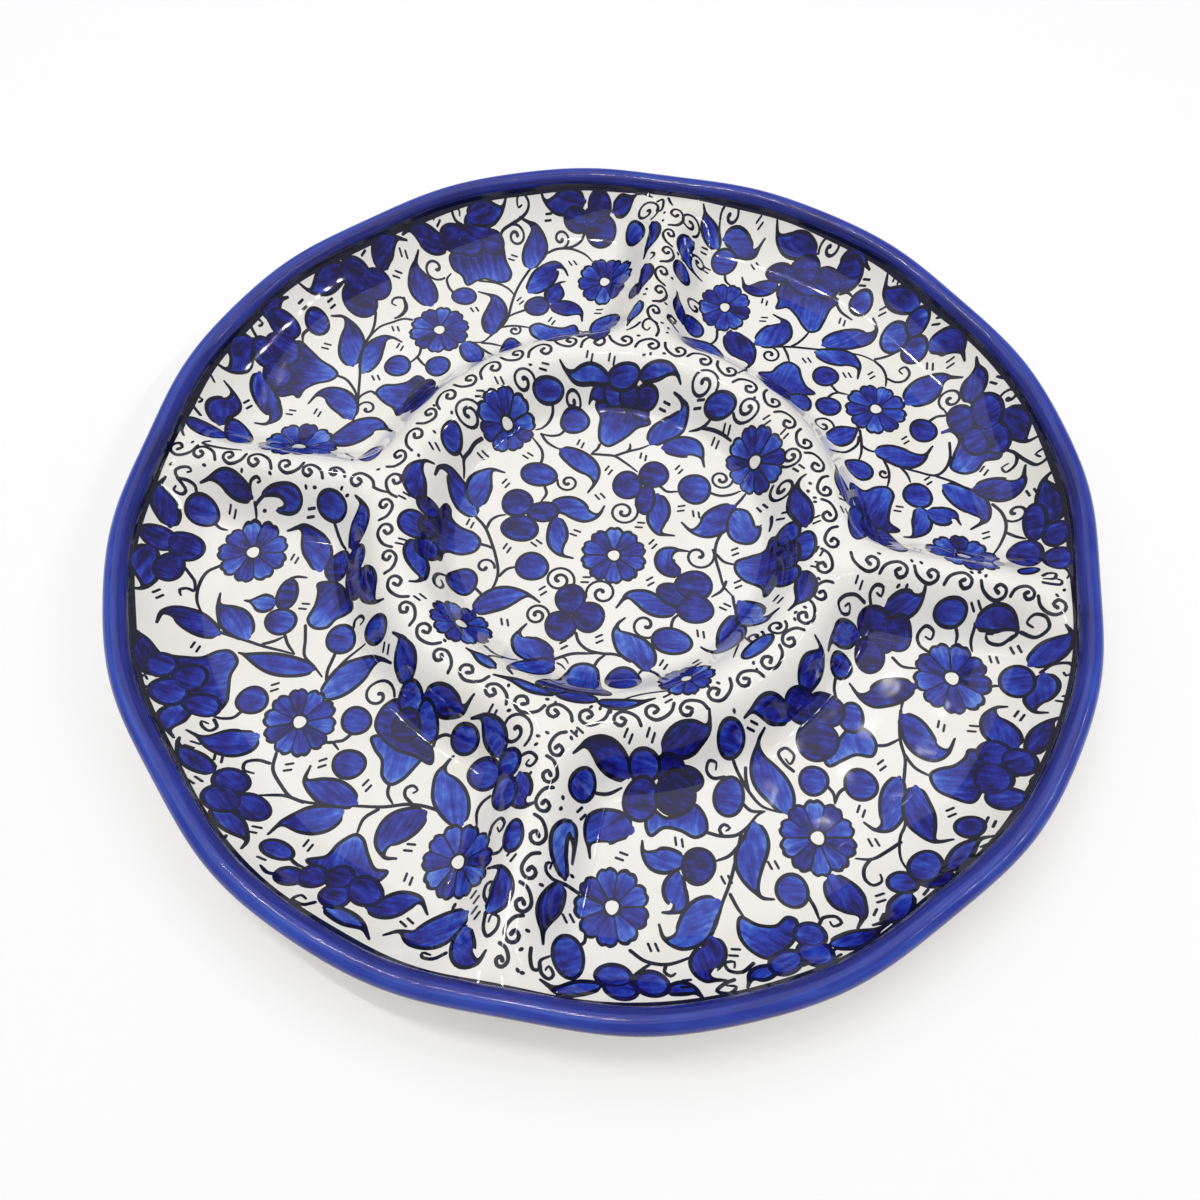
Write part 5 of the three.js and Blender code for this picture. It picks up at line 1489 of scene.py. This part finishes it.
def loft(rings, poles=()):
    """Faces that join the rings in order. Without poles, the last ring joins the first."""
    points = np.vstack(rings + [np.array([[0, 0, z]]) for z in poles])
    index = np.arange(LOFT_LINES)
    after = np.roll(index, -1)
    faces = []
    bands = len(rings) - 1 if poles else len(rings)
    for j in range(bands):
        a, b = j * LOFT_LINES, (j + 1) % len(rings) * LOFT_LINES
        faces += np.stack([a + index, b + index, b + after, a + after], 1).tolist()
    if poles:
        first, last = len(points) - 2, len(points) - 1
        end = (len(rings) - 1) * LOFT_LINES
        faces += np.stack([np.full(LOFT_LINES, first), index, after], 1).tolist()
        faces += np.stack([np.full(LOFT_LINES, last), end + after, end + index], 1).tolist()
    return points, faces


def loft_piece(name, node, rings, material, poles=()):
    points, faces = loft(rings, poles)
    mesh = bpy.data.meshes.new(name)
    mesh.from_pydata((points * METRES).tolist(), [], faces)
    mesh.materials.append(material)
    mesh.shade_smooth()
    mesh.set_sharp_from_angle(angle=math.radians(38))
    piece = linked_object(name, mesh)
    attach(piece, "root")
    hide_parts(node)
    return piece


BEAD_STEPS = 26
# The band's painted light and shade at places round the bead, in degrees from straight out: painted shade under
# its outer edge, a painted highlight over the lip and painted shade down its inside
BAND_LIGHT_AND_SHADE = ((-90, -0.4), (-6, -0.3), (14, 0.32), (38, 0.58), (75, 0.68), (110, 0.42), (150, 0.32), (180, 0.3))
BACK_RINGS, BASE_RINGS, CLAY_RINGS = 24, 40, 60
FOOT_EDGE_RUN, FOOT_EDGE_RISE = 0.5, 0.4


def bead_rings(depth):
    """The rolled rim's section: up its inside, over it and down its outside."""
    rings = [ring_at(band_radius(ANGLES) + depth, BAND_EDGE)]
    for turn in np.radians(np.linspace(180, BAND_END_ANGLE, BEAD_STEPS)):
        reach = (BEAD_RADIUS - depth) * math.cos(turn)
        rise = (BEAD_RADIUS - depth) * math.sin(turn)
        rings.append(ring_at(outline_radius(ANGLES) - BEAD_RADIUS + reach, BEAD_CENTRE + rise))
    return rings


def blue_band():
    """The cobalt glaze of the rim, streaked along it by the brush, with painted light and shade round the bead."""
    s = Shader("blue_band")
    place = s.position()
    run = s.attribute("brush").outputs["Vector"]
    streak = s.noise(run, 1.0, detail=4.0)
    cloud = s.noise(place, 30.0)
    # The tone attribute here is painted light and shade round the bead: lighter over the lip, darker under and
    # inside it
    side = s.attribute("tone").outputs["Fac"]
    shade = s.math("ADD", side, s.math("ADD", s.spread(streak, -0.5, 0.5), s.spread(cloud, -0.3, 0.3)))
    colour = s.ramp(
        shade,
        (0.0, srgb(16, 18, 54)),
        (0.22, srgb(24, 28, 108)),
        (0.5, srgb(32, 48, 152)),
        (1.0, srgb(54, 90, 194)),
    )
    s.link(colour, s.principled.inputs["Base Color"])
    s.link(s.spread(cloud, 0.06, 0.12), s.principled.inputs["Roughness"])
    s.bump(streak, 0.00008)
    return s.material


def rim_band():
    """The rim's coat, with painted light and shade for each place round the bead and a brush run along it."""
    rings = bead_rings(0) + bead_rings(GLAZE_THICKNESS)[::-1]
    piece = loft_piece("rim_band", "rim_band_glaze", rings, blue_band())
    co = np.zeros(len(piece.data.vertices) * 3, np.float32)
    piece.data.vertices.foreach_get("co", co)
    x, y, z = co.reshape(-1, 3).T / METRES
    r = np.hypot(x, y)
    angle = np.arctan2(y, x)
    across = r - (outline_radius(angle) - BEAD_RADIUS)
    round_bead = np.degrees(np.arctan2(z - BEAD_CENTRE, across))
    # Painted light and shade: the tone by place round the bead stands in for the lip's highlight and the shade
    # under and inside it
    tone = np.interp(round_bead, *zip(*BAND_LIGHT_AND_SHADE))
    brush = np.stack([np.cos(angle) * 6, np.sin(angle) * 6, across * 0.9 + z * 0.9], 1)
    piece.data.attributes.new("tone", "FLOAT", "POINT").data.foreach_set("value", tone.astype(np.float32))
    brush_data = piece.data.attributes.new("brush", "FLOAT_VECTOR", "POINT").data
    brush_data.foreach_set("vector", brush.astype(np.float32).ravel())


def back_rings(depth, edge=GLAZE_CLEARANCE):
    """The back's section, from beside the foot ring out to the rim band's end."""
    start = FOOT_RADIUS + FOOT_REACH + FOOT_BARE_MARGIN
    rings = []
    for share in np.linspace(0, 1, BACK_RINGS):
        rings.append(layer_ring(start + share * (band_radius(ANGLES) - start), WALL_THICKNESS - depth))
    turn = math.radians(BAND_END_ANGLE)
    reach = (BEAD_RADIUS - depth) * math.cos(turn) - edge
    rise = (BEAD_RADIUS - depth) * math.sin(turn) - edge
    rings.append(ring_at(outline_radius(ANGLES) - BEAD_RADIUS + reach, BEAD_CENTRE + rise))
    return rings


def base_rings(depth):
    """The underside's section within the foot ring, from its edge to near the middle."""
    edge = FOOT_RADIUS - FOOT_REACH - FOOT_BARE_MARGIN
    return [layer_ring(edge * share, WALL_THICKNESS - depth) for share in np.linspace(1, 0.03, BASE_RINGS)]


def foot_rings():
    """The foot ring's section, from its outside to its inside. Without a height it meets the back."""
    shoulder = FOOT_HALF + FOOT_EDGE_RUN
    profile = (
        (FOOT_REACH, None), (shoulder, FOOT_EDGE_RISE), (FOOT_HALF, 0.0),
        (-FOOT_HALF, 0.0), (-shoulder, FOOT_EDGE_RISE), (-FOOT_REACH, None),
    )
    rings = []
    for out, height in profile:
        r = FOOT_RADIUS + out
        rings.append(layer_ring(r, WALL_THICKNESS) if height is None else ring_at(r, height))
    return rings


def height_at_middle(depth):
    return FLOOR - depth


def plain_coats():
    """The plain white coats of the back and the underside."""
    material = glaze("white_back", (0.3, srgb(232, 226, 210)), (0.7, srgb(241, 237, 224)), roughness=(0.1, 0.2))
    back = back_rings(0)[::-1] + back_rings(GLAZE_THICKNESS)
    loft_piece("back_coat", "underside_glaze", back, material)
    upper = base_rings(GLAZE_THICKNESS)[::-1]
    poles = (height_at_middle(WALL_THICKNESS - GLAZE_THICKNESS), height_at_middle(WALL_THICKNESS))
    loft_piece("base_coat", "base_glaze", upper + base_rings(0), material, poles)


def bare_clay():
    s = Shader("bare_clay")
    place = s.position()
    grain = s.noise(place, 700.0, detail=4.0)
    patch = s.noise(place, 40.0)
    shade = s.math("ADD", s.spread(grain, 0.0, 0.5), s.spread(patch, 0.0, 0.5))
    colour = s.ramp(shade, (0.3, srgb(196, 172, 138)), (0.55, srgb(219, 201, 172)), (0.8, srgb(232, 219, 196)))
    s.link(colour, s.principled.inputs["Base Color"])
    s.link(s.spread(grain, 0.75, 0.95), s.principled.inputs["Roughness"])
    s.bump(grain, 0.0003)
    return s.material


def clay():
    """The fired body. Only its foot ring and the bare margins beside it show."""
    shares = np.linspace(0.02, 0.99, CLAY_RINGS)
    top = [layer_ring(band_radius(ANGLES) * share, COAT_DEPTH) for share in shares]
    bead = bead_rings(COAT_DEPTH)[1:]
    back = back_rings(COAT_DEPTH, 0)[:-1][::-1]
    shoulder = ring_at(band_radius(ANGLES) + COAT_DEPTH, BAND_EDGE - GLAZE_THICKNESS)
    rings = top + [shoulder] + bead + back + foot_rings() + base_rings(COAT_DEPTH)
    poles = (height_at_middle(COAT_DEPTH), height_at_middle(WALL_THICKNESS - COAT_DEPTH))
    loft_piece("clay", "clay_body", rings, bare_clay(), poles)


# The photograph's camera, in millimetres and degrees
CAMERA_PLACE = (24.4, -182.0, RIM_TOP + 279.5)
VIEW_AZIMUTH, VIEW_ELEVATION, VIEW_ROLL = -8.25, 62.15, 1.55
SENSOR, LENS = 36.0, 30.81
# How much lighter the floor is seen than it is lit, with 1 as white, and how far under the foot it lies
FLOOR_LIFT = 0.11
FLOOR_SIZE, FLOOR_DROP = 12, 0.0001


def camera():
    data = bpy.data.cameras.new("camera")
    data.sensor_width = SENSOR
    data.lens = LENS
    data.clip_start, data.clip_end = 0.01, 20
    cam = linked_object("camera", data)
    turn = Matrix.Rotation(-math.radians(VIEW_AZIMUTH), 4, "Z")
    tilt = Matrix.Rotation(math.radians(90 - VIEW_ELEVATION), 4, "X")
    roll = Matrix.Rotation(math.radians(VIEW_ROLL), 4, "Z")
    cam.matrix_world = Matrix.Translation(Vector(CAMERA_PLACE) * METRES) @ turn @ tilt @ roll
    bpy.context.scene.camera = cam


def floor():
    """A white floor, which is seen a little lighter than it lights the platter."""
    s = Shader("floor_white", Base_Color=srgb(246, 246, 246), Roughness=0.9, Emission_Color=srgb(255, 255, 255))
    path = s.node("ShaderNodeLightPath").outputs
    seen = s.math("MAXIMUM", path["Is Camera Ray"], path["Is Glossy Ray"])
    seen = s.math("MAXIMUM", seen, path["Is Transmission Ray"])
    s.link(s.math("MULTIPLY", seen, FLOOR_LIFT), s.principled.inputs["Emission Strength"])
    bpy.ops.mesh.primitive_plane_add(size=FLOOR_SIZE, location=(0, 0, -FLOOR_DROP))
    plane = bpy.context.object
    plane.name = "floor"
    plane.data.materials.append(s.material)


# The lamps, in metres and watts: one large soft one, and rows and a grid of small ones for the gloss
WORLD_STRENGTH = 0.48
SOFTBOX_PLACE, SOFTBOX_SIZE, SOFTBOX_POWER = (-0.3, 0.2, 1.9), 2.4, 14.5
ROW_LAMPS, ROW_LAMP_SIZE, KEY_POWER, SIDE_POWER = 8, 0.03, 4.5, 2.5
GRID_LAMPS, GRID_LAMP_SIZE, GRID_LAMP_POWER = 4, 0.012, 0.012
LAMP_SPACING = 0.1


def area_light(name, place, size, power):
    """A square lamp aimed at the middle of the table."""
    data = bpy.data.lights.new(name, "AREA")
    data.shape = "RECTANGLE"
    data.size, data.size_y = size, size
    data.energy = power
    lamp = linked_object(name, data)
    lamp.location = place
    lamp.rotation_mode = "QUATERNION"
    lamp.rotation_quaternion = (-Vector(place)).to_track_quat("-Z", "Y")


def lights():
    world = bpy.data.worlds.new("studio")
    bpy.context.scene.world = world
    world.use_nodes = True
    world.node_tree.nodes["Background"].inputs["Color"].default_value = srgb(252, 252, 255)
    world.node_tree.nodes["Background"].inputs["Strength"].default_value = WORLD_STRENGTH
    area_light("softbox", SOFTBOX_PLACE, SOFTBOX_SIZE, SOFTBOX_POWER)
    for k in range(ROW_LAMPS):
        along = LAMP_SPACING * (k - (ROW_LAMPS - 1) / 2)
        area_light("key_%d" % k, (-0.3 + along, 0.1 - 0.3 * along, 1.6), ROW_LAMP_SIZE, KEY_POWER / ROW_LAMPS)
        area_light("side_%d" % k, (1.05 + 0.3 * along, 0.1 + along, 1.2), ROW_LAMP_SIZE, SIDE_POWER / ROW_LAMPS)
    middle = (GRID_LAMPS - 1) / 2
    for k in range(GRID_LAMPS**2):
        row, column = divmod(k, GRID_LAMPS)
        x = 0.42 + LAMP_SPACING * (column - middle) + 0.04 * row
        y = 0.6 + LAMP_SPACING * (row - middle) - 0.03 * column
        area_light("far_%d" % k, (x, y, 1.6), GRID_LAMP_SIZE, GRID_LAMP_POWER)


camera()
floor()
lights()
paint_face()
rim_band()
plain_coats()
clay()

bpy.context.scene.view_settings.view_transform = "Standard"
